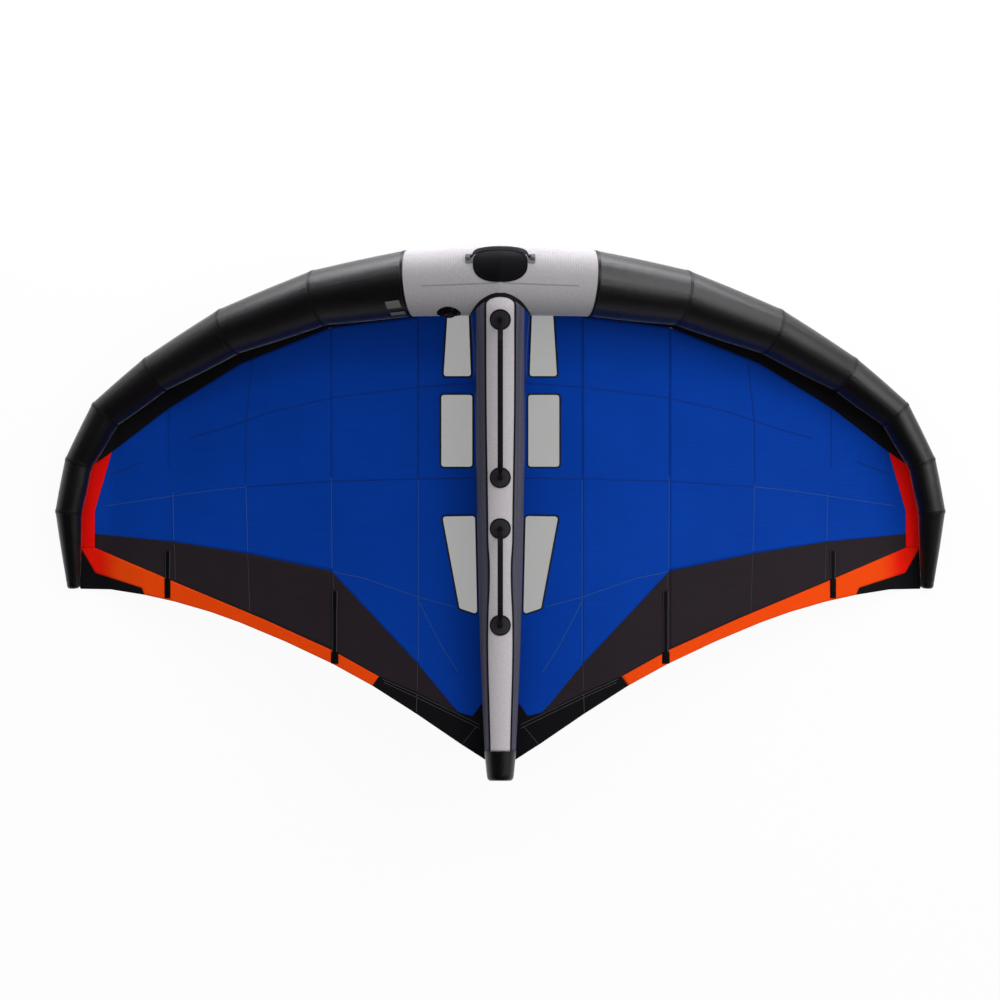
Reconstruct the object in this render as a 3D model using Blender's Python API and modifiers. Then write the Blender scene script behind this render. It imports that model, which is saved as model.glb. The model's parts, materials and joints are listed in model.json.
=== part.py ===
"""A wingfoil wing, lying on its back with its strut and handles up, as its separate pieces.

Metres, +Z up. +Y points to the leading edge and +X along the span, so a view straight down is the
rider's view of the wing. The origin is under the middle of the wing, on the ground.

The wing is drawn in plan first: places are shares of the half span and of the length behind the
nose. The heights then come from the leading edge tube, which droops towards the tips, and from the
trailing edge, with the camber of the canopy between the two.
"""

import math

import bmesh
import bpy
from mathutils import Matrix, Vector

# Overall sizes
HALF_SPAN = 1.625
LENGTH = 1.95
NOSE_DIAMETER = 0.258
NOSE_LIFT = 0.36
TAIL_LIFT = 0.40
CAMBER = 0.055
CAMBER_LEAN = 0.5

# Cloth, walls and clearances
CLOTH = 0.001
SLEEVE_WALL = 0.0012
BLADDER_WALL = 0.0002
SEAM_GAP = 0.0003
PANEL_GAP = 0.0006
KINK_GAP = 0.0006
LAY_GAP = 0.0005
TUBE_GAP = 0.001
BLADDER_GAP = 0.0006
WINDOW_GAP = 0.0006
CUT_OVERRUN = 0.02
CELL = 0.1
TUBE_SIDES = 32
TIP_SIDES = 20
CUTTER_SIDES = 48
BLADDER_SIDES = 12
GRIP_SIDES = 16

# Strut, with the bladder's neck that joins it to the leading edge
STRUT_DIAMETER = 0.215
STRUT_SIDES = 20
STRUT_STEP = 0.1
BLADDER_STEP = 0.15
STRIP_HALF_TURN = math.radians(28)
STRIP_TAIL_HALF_TURN = math.radians(39)
CAP_WALL = 0.002
DOME_STEPS = 3
DOME_ROUND_SHARE = 0.96
NECK_RADIUS = 0.009
NECK_LENGTH = 0.035

# Handles on the strut
ANCHOR_GAP = 0.0009
ANCHOR_RADIUS = 0.038
ANCHOR_THICKNESS = 0.003
BOSS_WIDTH = 0.02
BOSS_LENGTH = 0.014
BOSS_HEIGHT = 0.018
PIVOT_HEIGHT = 0.009
LEG_RADIUS = 0.0065
GRIP_RADIUS = 0.011
HANDLE_HEIGHT = 0.06
LEG_RUN = 0.055
LEG_START = 0.01
LEG_STEPS = 5

# Handle on the nose
PAD_HALF_WIDTH = 0.099
PAD_HEIGHT = 0.124
PAD_THICKNESS = 0.002
TAB_PLACE = 0.119
TAB_WIDTH = 0.018
TAB_HEIGHT = 0.044
TAB_THICKNESS = 0.003
TAB_BOSS_DEPTH = 0.02
TAB_BOSS_HEIGHT = 0.018
STRAP_RADIUS = 0.0065
STRAP_HEIGHT = 0.052
STRAP_ANGLE = math.radians(39)
STRAP_LEAN = math.radians(42)

# Inflation valve
VALVE_PLACE = 0.187
VALVE_ANGLE = math.radians(22)
VALVE_HOLE_RADIUS = 0.038
VALVE_FLANGE_RADIUS = 0.033
VALVE_COLLAR_RADIUS = 0.022
VALVE_BORE_RADIUS = 0.016
VALVE_FLANGE_THICKNESS = 0.004
VALVE_CAP_RADIUS = 0.023
VALVE_CAP_THICKNESS = 0.006
VALVE_PLUG_DEPTH = 0.004
VALVE_PLUG_GAP = 0.001
VALVE_STAND = 0.004
VALVE_HINGE_REACH = 0.0025
VALVE_STEPS = 20

# Battens and their pockets
POCKET_WIDTH = 0.024
POCKET_RISE = 0.0042
POCKET_CLOTH = 0.0008
BATTEN_WIDTH = 0.011
BATTEN_THICKNESS = 0.0028

NOSE_RADIUS = NOSE_DIAMETER / 2
STRUT_RADIUS = STRUT_DIAMETER / 2

# Axis of the leading edge tube at its kinks, from the middle to the tip, with the tube's radius and
# the height of its underside there
axis_shares = ((0.0, 0.0662), (0.206, 0.073), (0.405, 0.099), (0.607, 0.161), (0.774, 0.241),
               (0.887, 0.316), (0.947, 0.408), (0.969, 0.499), (0.959, 0.630))
radius_shares = (1.0, 0.93, 0.79, 0.68, 0.55, 0.465, 0.394, 0.375, 0.19)
lift_shares = (1.0, 0.93, 0.69, 0.36, 0.06, 0.0, 0.0, 0.0, 0.0)
TIP_KINK = 5

# Trailing edge from the tip to the middle, and its height
tail_shares = ((0.943, 0.643), (0.875, 0.644), (0.799, 0.654), (0.729, 0.667), (0.650, 0.686),
               (0.583, 0.706), (0.482, 0.741), (0.377, 0.782), (0.287, 0.823), (0.187, 0.876),
               (0.090, 0.931), (0.0, 0.979))
tail_lift_shares = (0.03, 0.09, 0.20, 0.28, 0.38, 0.46, 0.59, 0.72, 0.82, 0.91, 0.97, 1.0)

# Radius of the strut along the wing: length behind the nose, then share of the strut's radius
strut_shares = ((0.0, 1.0), (0.134, 1.0), (0.187, 0.925), (0.258, 0.88), (0.533, 0.78),
                (0.794, 0.66), (0.946, 0.525), (1.0, 0.46))
STRUT_FRONT_SHARE = 0.08
STRUT_END_SHARE = 0.946
STRIP_FRONT_SHARE = 0.097
STRIP_SHOULDER_SHARE = 0.113
front_handle_shares = (0.141, 0.435)
rear_handle_shares = (0.530, 0.710)

# Seams of the canopy, each from its forward or outer end
CENTRE_SEAM_SHARE = 0.184
OUTER_SEAM_SHARE = 0.380
strip_rear_shares = ((0.184, 0.134), (0.382, 0.155), (0.583, 0.222), (0.745, 0.305),
                     (0.873, 0.387), (0.915, 0.412))
blue_rear_shares = ((0.911, 0.540), (0.731, 0.555), (0.572, 0.576), (0.380, 0.609),
                    (0.184, 0.783), (0.095, 0.873), (0.061, 0.880), (0.041, 0.856), (0.0, 0.856))
orange_top_shares = ((0.942, 0.566), (0.911, 0.566), (0.756, 0.621), (0.731, 0.630),
                     (0.532, 0.699), (0.380, 0.756), (0.272, 0.806))
chevron_top_shares = ((0.272, 0.806), (0.187, 0.836), (0.117, 0.865), (0.039, 0.897), (0.0, 0.912))
CHEVRON_END_SHARE = 0.287
corner_shares = ((0.942, 0.566), (0.910, 0.613), (0.805, 0.641), (0.799, 0.654))
RED_BOTTOM_SHARE = 0.566
red_inner_shares = ((0.911, 0.540), (0.911, 0.497), (0.873, 0.387), (0.915, 0.412))

# Clear windows beside the strut
window_shares = {
    "upper": ((0.120, 0.128), (0.069, 0.128), (0.064, 0.247), (0.129, 0.247)),
    "middle": ((0.134, 0.279), (0.061, 0.279), (0.061, 0.416), (0.134, 0.416)),
    "lower": ((0.132, 0.506), (0.055, 0.505), (0.050, 0.692), (0.093, 0.680)),
}
WINDOW_CORNER = 0.012
CORNER_STEPS = 4

# Batten pockets: place along the span, then front and rear ends
pocket_shares = {"outer": (0.747, 0.572, 0.655), "inner": (0.371, 0.647, 0.777)}


# Small helpers for points in plan
def plan(across, back):
    """A place in plan, from its share of the half span and of the length behind the nose."""
    return Vector((across * HALF_SPAN, LENGTH / 2 - back * LENGTH))


def plans(shares):
    return [plan(*pair) for pair in shares]


def blend(low, high, part):
    return low + (high - low) * part


def along_table(table, place):
    """The value at a place in a table of (place, value) pairs in rising order of place."""
    if place <= table[0][0]:
        return table[0][1]
    for (low, first), (high, second) in zip(table, table[1:]):
        if place <= high:
            return blend(first, second, (place - low) / (high - low))
    return table[-1][1]


def back_share(y):
    return (LENGTH / 2 - y) / LENGTH


# Leading edge tube: axis, radii and the planes where its panels meet
def kink_axis(index):
    flat = plan(*axis_shares[index])
    radius = NOSE_RADIUS * radius_shares[index]
    return Vector((flat.x, flat.y, NOSE_LIFT * lift_shares[index] + radius))


axis = [kink_axis(index) for index in range(len(axis_shares))]
radii = [NOSE_RADIUS * share for share in radius_shares]
runs = [(end - start).normalized() for start, end in zip(axis, axis[1:])]


def mitre(index):
    """Unit normal of the plane in which the tube's panels meet at a kink."""
    if index == 0:
        return Vector((1, 0, 0))
    if index == len(runs):
        return runs[-1]
    return (runs[index - 1] + runs[index]).normalized()


def attach_point(index):
    """Where the canopy meets the tube at a kink: 45 degrees below its rear side."""
    normal = mitre(index)
    rearward = normal.cross(Vector((0, 0, 1))).normalized()
    downward = rearward.cross(normal).normalized()
    if downward.z > 0:
        downward.negate()
    way = (rearward + downward).normalized()
    run = runs[min(index, len(runs) - 1)]
    reach = (radii[index] + TUBE_GAP) / math.sqrt(1 - way.dot(run) ** 2)
    return axis[index] + way * reach


attach = [attach_point(index) for index in range(len(axis))]
attach_back = [(point.x, point.y) for point in attach[:TIP_KINK + 2]]
attach_lift = [(point.x, point.z) for point in attach[:TIP_KINK + 2]]
tip_lift = sorted((point.y, point.z) for point in attach[TIP_KINK:])
tail = [plan(*pair) for pair in tail_shares]
tail_back = sorted((point.x, point.y) for point in tail)
tail_lift = sorted((point.x, TAIL_LIFT * share) for point, share in zip(tail, tail_lift_shares))
middle_chord = attach[0].y - tail[-1].y


def canopy_height(x, y):
    """Height of the canopy's upper face: a straight line from tube to trailing edge, less a
    camber that bows downwards, deepest just before the middle of the chord. Beside the tip, where
    the tube runs along the wing, it turns into the height of the tube's seam at the same place."""
    across = abs(x)
    chord = along_table(attach_back, across) - along_table(tail_back, across)
    part = (along_table(attach_back, across) - y) / chord
    bow = 4 * part * (1 - part) * (1 + CAMBER_LEAN * (1 / 2 - part))
    depth = CAMBER * chord * math.sqrt(chord / middle_chord)
    main = blend(along_table(attach_lift, across), along_table(tail_lift, across), part) - depth * bow
    outward = (across - attach[TIP_KINK].x) / (attach[TIP_KINK + 1].x - attach[TIP_KINK].x)
    return blend(main, along_table(tip_lift, y), min(max(outward, 0), 1))


def on_canopy(x, y):
    return Vector((x, y, canopy_height(x, y)))


# Strut: a tapering tube that follows the canopy
def strut_radius(y):
    return STRUT_RADIUS * along_table(strut_shares, back_share(y))


def strut_height(y):
    return canopy_height(0, y) + LAY_GAP + strut_radius(y)


def on_strut(turn, y, lift):
    """A place on the strut: angle from its top line, place along it, height above its surface."""
    out = strut_radius(y) + lift
    return Vector((out * math.sin(turn), y, strut_height(y) + out * math.cos(turn)))


def on_nose(x, round_top, lift):
    """A place on the tube's middle: distance round from its top line towards the front."""
    part = abs(x) / axis[1].x
    centre = axis[0].lerp(axis[1], part)
    radius = blend(radii[0], radii[1], part)
    angle = round_top / NOSE_RADIUS
    way = Vector((0, math.sin(angle), math.cos(angle)))
    reach = (radius + lift) / math.sqrt(1 - way.dot(runs[0]) ** 2)
    return Vector((x, centre.y, centre.z)) + way * reach


# Scene and materials
for old in list(bpy.data.objects):
    bpy.data.objects.remove(old, do_unlink=True)
parts = bpy.data.collections.new("wingfoil_wing")
cutters = bpy.data.collections.new("cutters")
bpy.context.scene.collection.children.link(parts)
bpy.context.scene.collection.children.link(cutters)


def material(name, colour, roughness, metallic=0.0):
    made = bpy.data.materials.new(name)
    made.use_nodes = True
    shader = made.node_tree.nodes["Principled BSDF"]
    shader.inputs["Base Color"].default_value = (*colour, 1)
    shader.inputs["Roughness"].default_value = roughness
    shader.inputs["Metallic"].default_value = metallic
    return made


black_cloth = material("black_cloth", (0.012, 0.012, 0.014), 0.55)
print_cloth = material("grey_print_cloth", (0.42, 0.40, 0.42), 0.6)
strut_cloth = material("strut_cloth", (0.09, 0.09, 0.13), 0.6)
blue_cloth = material("blue_cloth", (0.004, 0.05, 0.35), 0.5)
charcoal_cloth = material("charcoal_cloth", (0.025, 0.018, 0.024), 0.55)
orange_cloth = material("orange_cloth", (0.9, 0.09, 0.006), 0.5)
red_cloth = material("red_cloth", (0.65, 0.012, 0.004), 0.5)
window_film = material("window_film", (0.45, 0.45, 0.43), 0.25)
bladder_film = material("bladder_film", (0.6, 0.62, 0.65), 0.3)
grip_foam = material("grip_foam", (0.01, 0.01, 0.01), 0.8)
patch_rubber = material("patch_rubber", (0.015, 0.015, 0.016), 0.7)
strap_webbing = material("strap_webbing", (0.03, 0.03, 0.035), 0.75)
tab_cloth = material("tab_cloth", (0.25, 0.25, 0.27), 0.6)
valve_plastic = material("valve_plastic", (0.01, 0.01, 0.01), 0.4)
batten_plastic = material("batten_plastic", (0.3, 0.32, 0.3), 0.4)


def add_object(name, mesh, finish, collection=parts):
    made = bpy.data.objects.new(name, mesh)
    collection.objects.link(made)
    if finish:
        mesh.materials.clear()
        mesh.materials.append(finish)
        mesh.shade_smooth()
        mesh.set_sharp_from_angle(angle=math.radians(35))
    if collection is cutters:
        made.hide_render = True
        made.display_type = "WIRE"
    return made


def bm_object(name, bm, finish, collection=parts):
    mesh = bpy.data.meshes.new(name)
    bm.to_mesh(mesh)
    bm.free()
    return add_object(name, mesh, finish, collection)


def thicken(made, thickness, outward=False):
    solid = made.modifiers.new("thickness", "SOLIDIFY")
    solid.thickness = thickness
    solid.offset = 1 if outward else -1
    return made


def combine(made, other, operation):
    boolean = made.modifiers.new(operation.lower(), "BOOLEAN")
    boolean.operation = operation
    boolean.object = other
    return made


def move_origin(made, point):
    """The object's origin goes to a point, and its shape stays in place."""
    made.data.transform(Matrix.Translation(-point))
    made.location = point


def frame_at(origin, up, side):
    """A matrix whose Z is up and whose X is as near to side as it can be."""
    high = up.normalized()
    wide = (side - high * side.dot(high)).normalized()
    turned = Matrix((wide, high.cross(wide), high)).transposed()
    return Matrix.Translation(origin) @ turned.to_4x4()


def tube_mesh(name, points, widths, sides, caps=True):
    """A tube along points with a radius at each, as a mesh."""
    curve = bpy.data.curves.new(name, "CURVE")
    curve.dimensions = "3D"
    curve.bevel_depth = 1
    curve.bevel_resolution = sides // 2 - 2
    curve.use_fill_caps = caps
    spline = curve.splines.new("POLY")
    spline.points.add(len(points) - 1)
    for knot, point, width in zip(spline.points, points, widths):
        knot.co = (*point, 1)
        knot.radius = width
    guide = bpy.data.objects.new(name + "_route", curve)
    cutters.objects.link(guide)
    bpy.context.view_layer.update()
    depsgraph = bpy.context.evaluated_depsgraph_get()
    mesh = bpy.data.meshes.new_from_object(guide.evaluated_get(depsgraph))
    mesh.name = name
    bpy.data.objects.remove(guide)
    bpy.data.curves.remove(curve)
    bm = bmesh.new()
    bm.from_mesh(mesh)
    bmesh.ops.remove_doubles(bm, verts=bm.verts[:], dist=SEAM_GAP / 10)
    bmesh.ops.recalc_face_normals(bm, faces=bm.faces[:])
    bm.to_mesh(mesh)
    bm.free()
    return mesh


def box_object(name, size, place):
    bm = bmesh.new()
    bmesh.ops.create_cube(bm, size=1)
    bmesh.ops.scale(bm, vec=size, verts=bm.verts[:])
    bmesh.ops.transform(bm, matrix=place, verts=bm.verts[:])
    return bm_object(name, bm, None, cutters)


def cylinder_cutter(name, radius, length, place):
    bm = bmesh.new()
    bmesh.ops.create_cone(bm, cap_ends=True, segments=VALVE_STEPS, radius1=radius, radius2=radius,
                          depth=length)
    bmesh.ops.transform(bm, matrix=place, verts=bm.verts[:])
    return bm_object(name, bm, None, cutters)


def turned(name, profile, finish, place):
    """A profile of (radius, height) pairs, down its outer side, turned about the Z axis of place."""
    bm = bmesh.new()
    rim = [bm.verts.new((width, 0, high)) for width, high in profile]
    for first, second in zip(rim, rim[1:]):
        bm.edges.new((first, second))
    bmesh.ops.spin(bm, geom=bm.verts[:] + bm.edges[:], axis=(0, 0, 1), cent=(0, 0, 0), angle=2 * math.pi,
                   steps=VALVE_STEPS, use_merge=True)
    bmesh.ops.remove_doubles(bm, verts=bm.verts[:], dist=SEAM_GAP / 10)
    bmesh.ops.recalc_face_normals(bm, faces=bm.faces[:])
    bmesh.ops.transform(bm, matrix=place, verts=bm.verts[:])
    return bm_object(name, bm, finish)


# Sheets of cloth: an outline in plan, cut into cells and laid on a surface
def drawn_in(outline, margin):
    """The outline with each side moved inwards by a margin. It runs anticlockwise."""
    count = len(outline)
    moved = []
    for index in range(count):
        before = (outline[index] - outline[index - 1]).normalized()
        after = (outline[(index + 1) % count] - outline[index]).normalized()
        inward = Vector((-before.y - after.y, before.x + after.x))
        normal = inward.normalized()
        shrink = normal.dot(Vector((-before.y, before.x)))
        moved.append(outline[index] + normal * margin / max(shrink, 1 / 4))
    return moved


def anticlockwise(outline):
    area = sum(first.cross(second) for first, second in zip(outline, outline[1:] + outline[:1]))
    return outline if area > 0 else outline[::-1]


def rounded(outline, radius):
    """The outline with each corner made an arc."""
    count = len(outline)
    result = []
    for index in range(count):
        corner = outline[index]
        back = (outline[index - 1] - corner).normalized()
        ahead = (outline[(index + 1) % count] - corner).normalized()
        half = back.angle(ahead) / 2
        centre = corner + (back + ahead).normalized() * radius / math.sin(half)
        start = (corner + back * radius / math.tan(half) - centre).normalized()
        end = (corner + ahead * radius / math.tan(half) - centre).normalized()
        for step in range(CORNER_STEPS + 1):
            result.append(centre + start.slerp(end, step / CORNER_STEPS) * radius)
    return result


def cell_lines(low, high, cell):
    return [cell * k for k in range(math.ceil(low / cell), math.floor(high / cell) + 1)]


def sheet(name, outline, finish, surface, cell=CELL, thickness=CLOTH, outward=False, side=1, lines=(),
          rows=()):
    """A piece of cloth with its outline in plan, laid on a surface of two coordinates. Lines and
    rows are more places where its mesh is cut, across and along."""
    if side < 0:
        outline = [Vector((-point.x, point.y)) for point in outline]
    outline = anticlockwise(outline)
    bm = bmesh.new()
    bm.faces.new([bm.verts.new((point.x, point.y, 0)) for point in outline])
    xs = [point.x for point in outline]
    ys = [point.y for point in outline]
    across = cell_lines(min(xs), max(xs), cell) + [side * x for x in lines]
    along = cell_lines(min(ys), max(ys), cell) + list(rows)
    cuts = [((x, 0, 0), (1, 0, 0)) for x in across] + [((0, y, 0), (0, 1, 0)) for y in along]
    for place, normal in cuts:
        everything = bm.verts[:] + bm.edges[:] + bm.faces[:]
        bmesh.ops.bisect_plane(bm, geom=everything, dist=SEAM_GAP / 2, plane_co=place, plane_no=normal)
    bmesh.ops.triangulate(bm, faces=bm.faces[:])
    for vert in bm.verts:
        vert.co = surface(vert.co.x, vert.co.y)
    return thicken(bm_object(name, bm, finish), thickness, outward)


def canopy_panel(name, outline, finish, side=1):
    """A panel with half a seam's gap round it, and a line of its mesh under each batten."""
    across = [point.x for point in outline]
    under = [plan(place, 0).x for place, front, rear in pocket_shares.values()]
    lines = [x for x in under if min(across) < x < max(across)]
    outline = drawn_in(anticlockwise(outline), PANEL_GAP / 2)
    return sheet(name, outline, finish, on_canopy, side=side, lines=lines)


def sides():
    return (("right", 1), ("left", -1))


# Leading edge: straight tapered panels between the kinks
def tube_panel(index):
    """The open surface of one straight panel of the tube, cut in the planes of its kinks."""
    start, end, run = axis[index], axis[index + 1], runs[index]
    length = (end - start).length
    over = radii[index] / 2
    taper = (radii[index + 1] - radii[index]) / length
    bm = bmesh.new()
    bmesh.ops.create_cone(bm, cap_ends=False, segments=TUBE_SIDES, radius1=radii[index] - taper * over,
                          radius2=radii[index + 1] + taper * over, depth=length + 2 * over)
    place = frame_at((start + end) / 2, run, run.cross(Vector((0, 0, 1))))
    bmesh.ops.transform(bm, matrix=place, verts=bm.verts[:])
    inset = KINK_GAP / 2 if index else 0
    for point, normal, gap in ((start, mitre(index), inset), (end, -mitre(index + 1), KINK_GAP / 2)):
        everything = bm.verts[:] + bm.edges[:] + bm.faces[:]
        bmesh.ops.bisect_plane(bm, geom=everything, dist=SEAM_GAP / 10, plane_co=point + normal * gap,
                               plane_no=normal, clear_inner=True)
    return bm


def mirror_across(bm):
    bmesh.ops.scale(bm, vec=(-1, 1, 1), verts=bm.verts[:])
    bmesh.ops.reverse_faces(bm, faces=bm.faces[:])


def nose_route(inset):
    """The tube's axis from the left first kink to the right one, and the radii less an inset."""
    left = Vector((-axis[1].x, axis[1].y, axis[1].z))
    return [left, axis[0], axis[1]], [radii[1] - inset, radii[0] - inset, radii[1] - inset]


def leading_edge():
    middle = bm_object("leading_edge_centre_sleeve", tube_panel(0), print_cloth)
    mirror = middle.modifiers.new("other_half", "MIRROR")
    mirror.merge_threshold = SEAM_GAP / 10
    thicken(middle, SLEEVE_WALL)
    combine(middle, valve_hole, "DIFFERENCE")
    combine(middle, neck_hole, "DIFFERENCE")
    for word, side in sides():
        for index in range(1, TIP_KINK):
            bm = tube_panel(index)
            if side < 0:
                mirror_across(bm)
            thicken(bm_object(f"leading_edge_sleeve_{word}_{index}", bm, black_cloth), SLEEVE_WALL)
        tip_sleeve(word, side)


def tip_route():
    """Axis and radii of the tip, from before its first kink to its rounded end."""
    before = axis[TIP_KINK] - runs[TIP_KINK] * radii[TIP_KINK]
    last, way = axis[-1], runs[-1]
    ends = [last + way * radii[-1] * math.sin(turn) for turn in (math.pi / 6, math.pi / 3)]
    tips = [radii[-1] * math.cos(turn) for turn in (math.pi / 6, math.pi / 3)]
    return [before] + axis[TIP_KINK:] + ends, [radii[TIP_KINK]] + radii[TIP_KINK:] + tips


def tip_sleeve(word, side):
    points, widths = tip_route()
    bm = bmesh.new()
    bm.from_mesh(tube_mesh("tip", points, widths, TIP_SIDES))
    normal = mitre(TIP_KINK)
    bmesh.ops.bisect_plane(bm, geom=bm.verts[:] + bm.edges[:] + bm.faces[:], dist=SEAM_GAP / 10,
                           plane_co=axis[TIP_KINK] + normal * KINK_GAP / 2, plane_no=normal,
                           clear_inner=True)
    if side < 0:
        mirror_across(bm)
    thicken(bm_object(f"leading_edge_tip_{word}", bm, black_cloth), SLEEVE_WALL)


def bladder_route():
    """Axis and radii of the long bladder that fills the leading edge, from tip to tip."""
    squeeze = math.cos(math.pi / TUBE_SIDES)
    half = axis[:-1] + [axis[-1] - runs[-1] * BLADDER_GAP]
    widths = [radius * squeeze - SLEEVE_WALL - BLADDER_GAP for radius in radii]
    left = [Vector((-point.x, point.y, point.z)) for point in half[:0:-1]]
    return left + half, widths[:0:-1] + widths


def leading_edge_bladder():
    points, widths = bladder_route()
    mesh = tube_mesh("bladder", points, widths, BLADDER_SIDES)
    made = add_object("leading_edge_bladder", mesh, bladder_film)
    thicken(made, BLADDER_WALL)
    combine(made, valve_bore, "DIFFERENCE")
    combine(made, neck_bore, "DIFFERENCE")


# Inflation valve, in a hole on the rear of the centre sleeve
def valve_frame():
    """A frame on the bladder's surface under the valve, with Z out of the tube."""
    part = VALVE_PLACE / axis[1].x
    centre = axis[0].lerp(axis[1], part)
    way = Vector((0, -math.cos(VALVE_ANGLE), math.sin(VALVE_ANGLE)))
    radius = blend(radii[0], radii[1], part)
    origin = Vector((-VALVE_PLACE, centre.y, centre.z)) + way * radius
    return frame_at(origin, way, Vector((1, 0, 0)))


valve_place = valve_frame()
VALVE_DEPTH = SLEEVE_WALL + NOSE_RADIUS * (1 - math.cos(math.pi / TUBE_SIDES)) + BLADDER_GAP
valve_hole = cylinder_cutter("valve_hole", VALVE_HOLE_RADIUS, 2 * CUT_OVERRUN, valve_place)
valve_bore = cylinder_cutter("valve_bore", VALVE_BORE_RADIUS, 2 * CUT_OVERRUN, valve_place)


def valve():
    """The flanged base that is welded to the bladder, and the cap that plugs it."""
    top = VALVE_STAND
    flange = VALVE_FLANGE_THICKNESS - VALVE_DEPTH
    foot = -CUT_OVERRUN / 2
    base = turned("valve_base", ((VALVE_BORE_RADIUS, top), (VALVE_COLLAR_RADIUS, top),
                                 (VALVE_COLLAR_RADIUS, flange), (VALVE_FLANGE_RADIUS, flange),
                                 (VALVE_FLANGE_RADIUS, foot), (VALVE_BORE_RADIUS, foot),
                                 (VALVE_BORE_RADIUS, top)), valve_plastic, valve_place)
    points, widths = bladder_route()
    core = tube_mesh("bladder_core", points, [width + SEAM_GAP for width in widths], BLADDER_SIDES)
    combine(base, add_object("bladder_core", core, None, cutters), "DIFFERENCE")
    low = top + SEAM_GAP
    high = low + VALVE_CAP_THICKNESS
    plug = VALVE_BORE_RADIUS - VALVE_PLUG_GAP
    cap = turned("valve_cap", ((0, high), (VALVE_CAP_RADIUS - SEAM_GAP, high), (VALVE_CAP_RADIUS, low),
                               (plug, low), (plug, low - VALVE_PLUG_DEPTH), (0, low - VALVE_PLUG_DEPTH)),
                 valve_plastic, valve_place)
    move_origin(cap, valve_place @ Vector((VALVE_CAP_RADIUS + VALVE_HINGE_REACH, 0, (low + high) / 2)))


# Strut
strut_start = LENGTH / 2 - STRUT_FRONT_SHARE * LENGTH
strut_end = LENGTH / 2 - STRUT_END_SHARE * LENGTH


def strut_rows(first, last, step=STRUT_STEP):
    """Places along the strut where its mesh is cut: even steps, and where its taper changes."""
    changes = [LENGTH / 2 - share * LENGTH for share, width in strut_shares]
    return [y for y in cell_lines(last, first, step) + changes if last < y < first]


def strut_tube(first, last, lift, caps, step=STRUT_STEP):
    """The surface of the strut, or one inside it: a cylinder cut into rings, each shaped to its
    place."""
    bm = bmesh.new()
    bmesh.ops.create_cone(bm, cap_ends=caps, segments=STRUT_SIDES, radius1=STRUT_RADIUS,
                          radius2=STRUT_RADIUS, depth=first - last)
    place = frame_at(Vector((0, (first + last) / 2, 0)), Vector((0, -1, 0)), Vector((1, 0, 0)))
    bmesh.ops.transform(bm, matrix=place, verts=bm.verts[:])
    for y in strut_rows(first, last, step):
        everything = bm.verts[:] + bm.edges[:] + bm.faces[:]
        bmesh.ops.bisect_plane(bm, geom=everything, dist=SEAM_GAP, plane_co=(0, y, 0), plane_no=(0, 1, 0))
    for vert in bm.verts:
        turn = math.atan2(vert.co.x, vert.co.z)
        vert.co = on_strut(turn, vert.co.y, lift)
    return bm


neck_start = axis[0].y - radii[0] + SLEEVE_WALL + NOSE_RADIUS * (1 - math.cos(math.pi / TUBE_SIDES))
neck_end = axis[0].y - radii[0] - NECK_LENGTH
neck_place = frame_at(Vector((0, axis[0].y - radii[0], axis[0].z)), Vector((0, -1, 0)), Vector((1, 0, 0)))
neck_hole = cylinder_cutter("neck_hole", NECK_RADIUS + TUBE_GAP, 2 * CUT_OVERRUN, neck_place)
neck_bore = cylinder_cutter("neck_bore", NECK_RADIUS / 2, 2 * CUT_OVERRUN, neck_place)


def strut():
    surface = strut_tube(strut_start, strut_end, 0, caps=False)
    sleeve = thicken(bm_object("strut_sleeve", surface, strut_cloth), SLEEVE_WALL)
    route, radius = nose_route(-TUBE_GAP)
    nose = add_object("nose_core", tube_mesh("nose_core", route, radius, CUTTER_SIDES), None, cutters)
    combine(sleeve, nose, "DIFFERENCE")
    strut_bladder()
    strut_cap()
    strut_strip()


def strut_bladder():
    """A tapering bladder whose narrow neck reaches the leading edge's bladder."""
    body = strut_tube(neck_end, strut_end, -SLEEVE_WALL - 2 * BLADDER_GAP, caps=True, step=BLADDER_STEP)
    made = bm_object("strut_bladder", body, bladder_film)
    front = neck_start - BLADDER_GAP
    depth = front - neck_end + CUT_OVERRUN
    place = frame_at(Vector((0, front - depth / 2, axis[0].z)), Vector((0, -1, 0)), Vector((1, 0, 0)))
    combine(made, cylinder_cutter("neck", NECK_RADIUS, depth, place), "UNION")
    thicken(made, BLADDER_WALL)
    combine(made, neck_bore, "DIFFERENCE")


def strut_cap():
    """The rounded cap over the strut's rear end: open at the front, domed behind."""
    first, last = strut_end - SEAM_GAP, -LENGTH / 2
    dome = (first - last) / 2
    bm = bmesh.new()
    bmesh.ops.create_cone(bm, cap_ends=True, segments=STRUT_SIDES, radius1=STRUT_RADIUS,
                          radius2=STRUT_RADIUS, depth=first - last)
    place = frame_at(Vector((0, (first + last) / 2, 0)), Vector((0, -1, 0)), Vector((1, 0, 0)))
    bmesh.ops.transform(bm, matrix=place, verts=bm.verts[:])
    bmesh.ops.delete(bm, geom=[face for face in bm.faces if face.normal.y > 1 / 2], context="FACES_ONLY")
    for step in range(DOME_STEPS):
        y = last + dome * (1 - math.sin(math.pi / 2 * step / DOME_STEPS))
        everything = bm.verts[:] + bm.edges[:] + bm.faces[:]
        bmesh.ops.bisect_plane(bm, geom=everything, dist=SEAM_GAP, plane_co=(0, y, 0), plane_no=(0, 1, 0))
    for vert in bm.verts:
        y = vert.co.y
        turn = math.atan2(vert.co.x, vert.co.z)
        depth = min(max((last + dome - y) / dome, 0), 1) * DOME_ROUND_SHARE
        centre = Vector((0, y, strut_height(y)))
        vert.co = centre + (on_strut(turn, y, 0) - centre) * math.sqrt(1 - depth ** 2)
    thicken(bm_object("strut_end_cap", bm, black_cloth), CAP_WALL)


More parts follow.
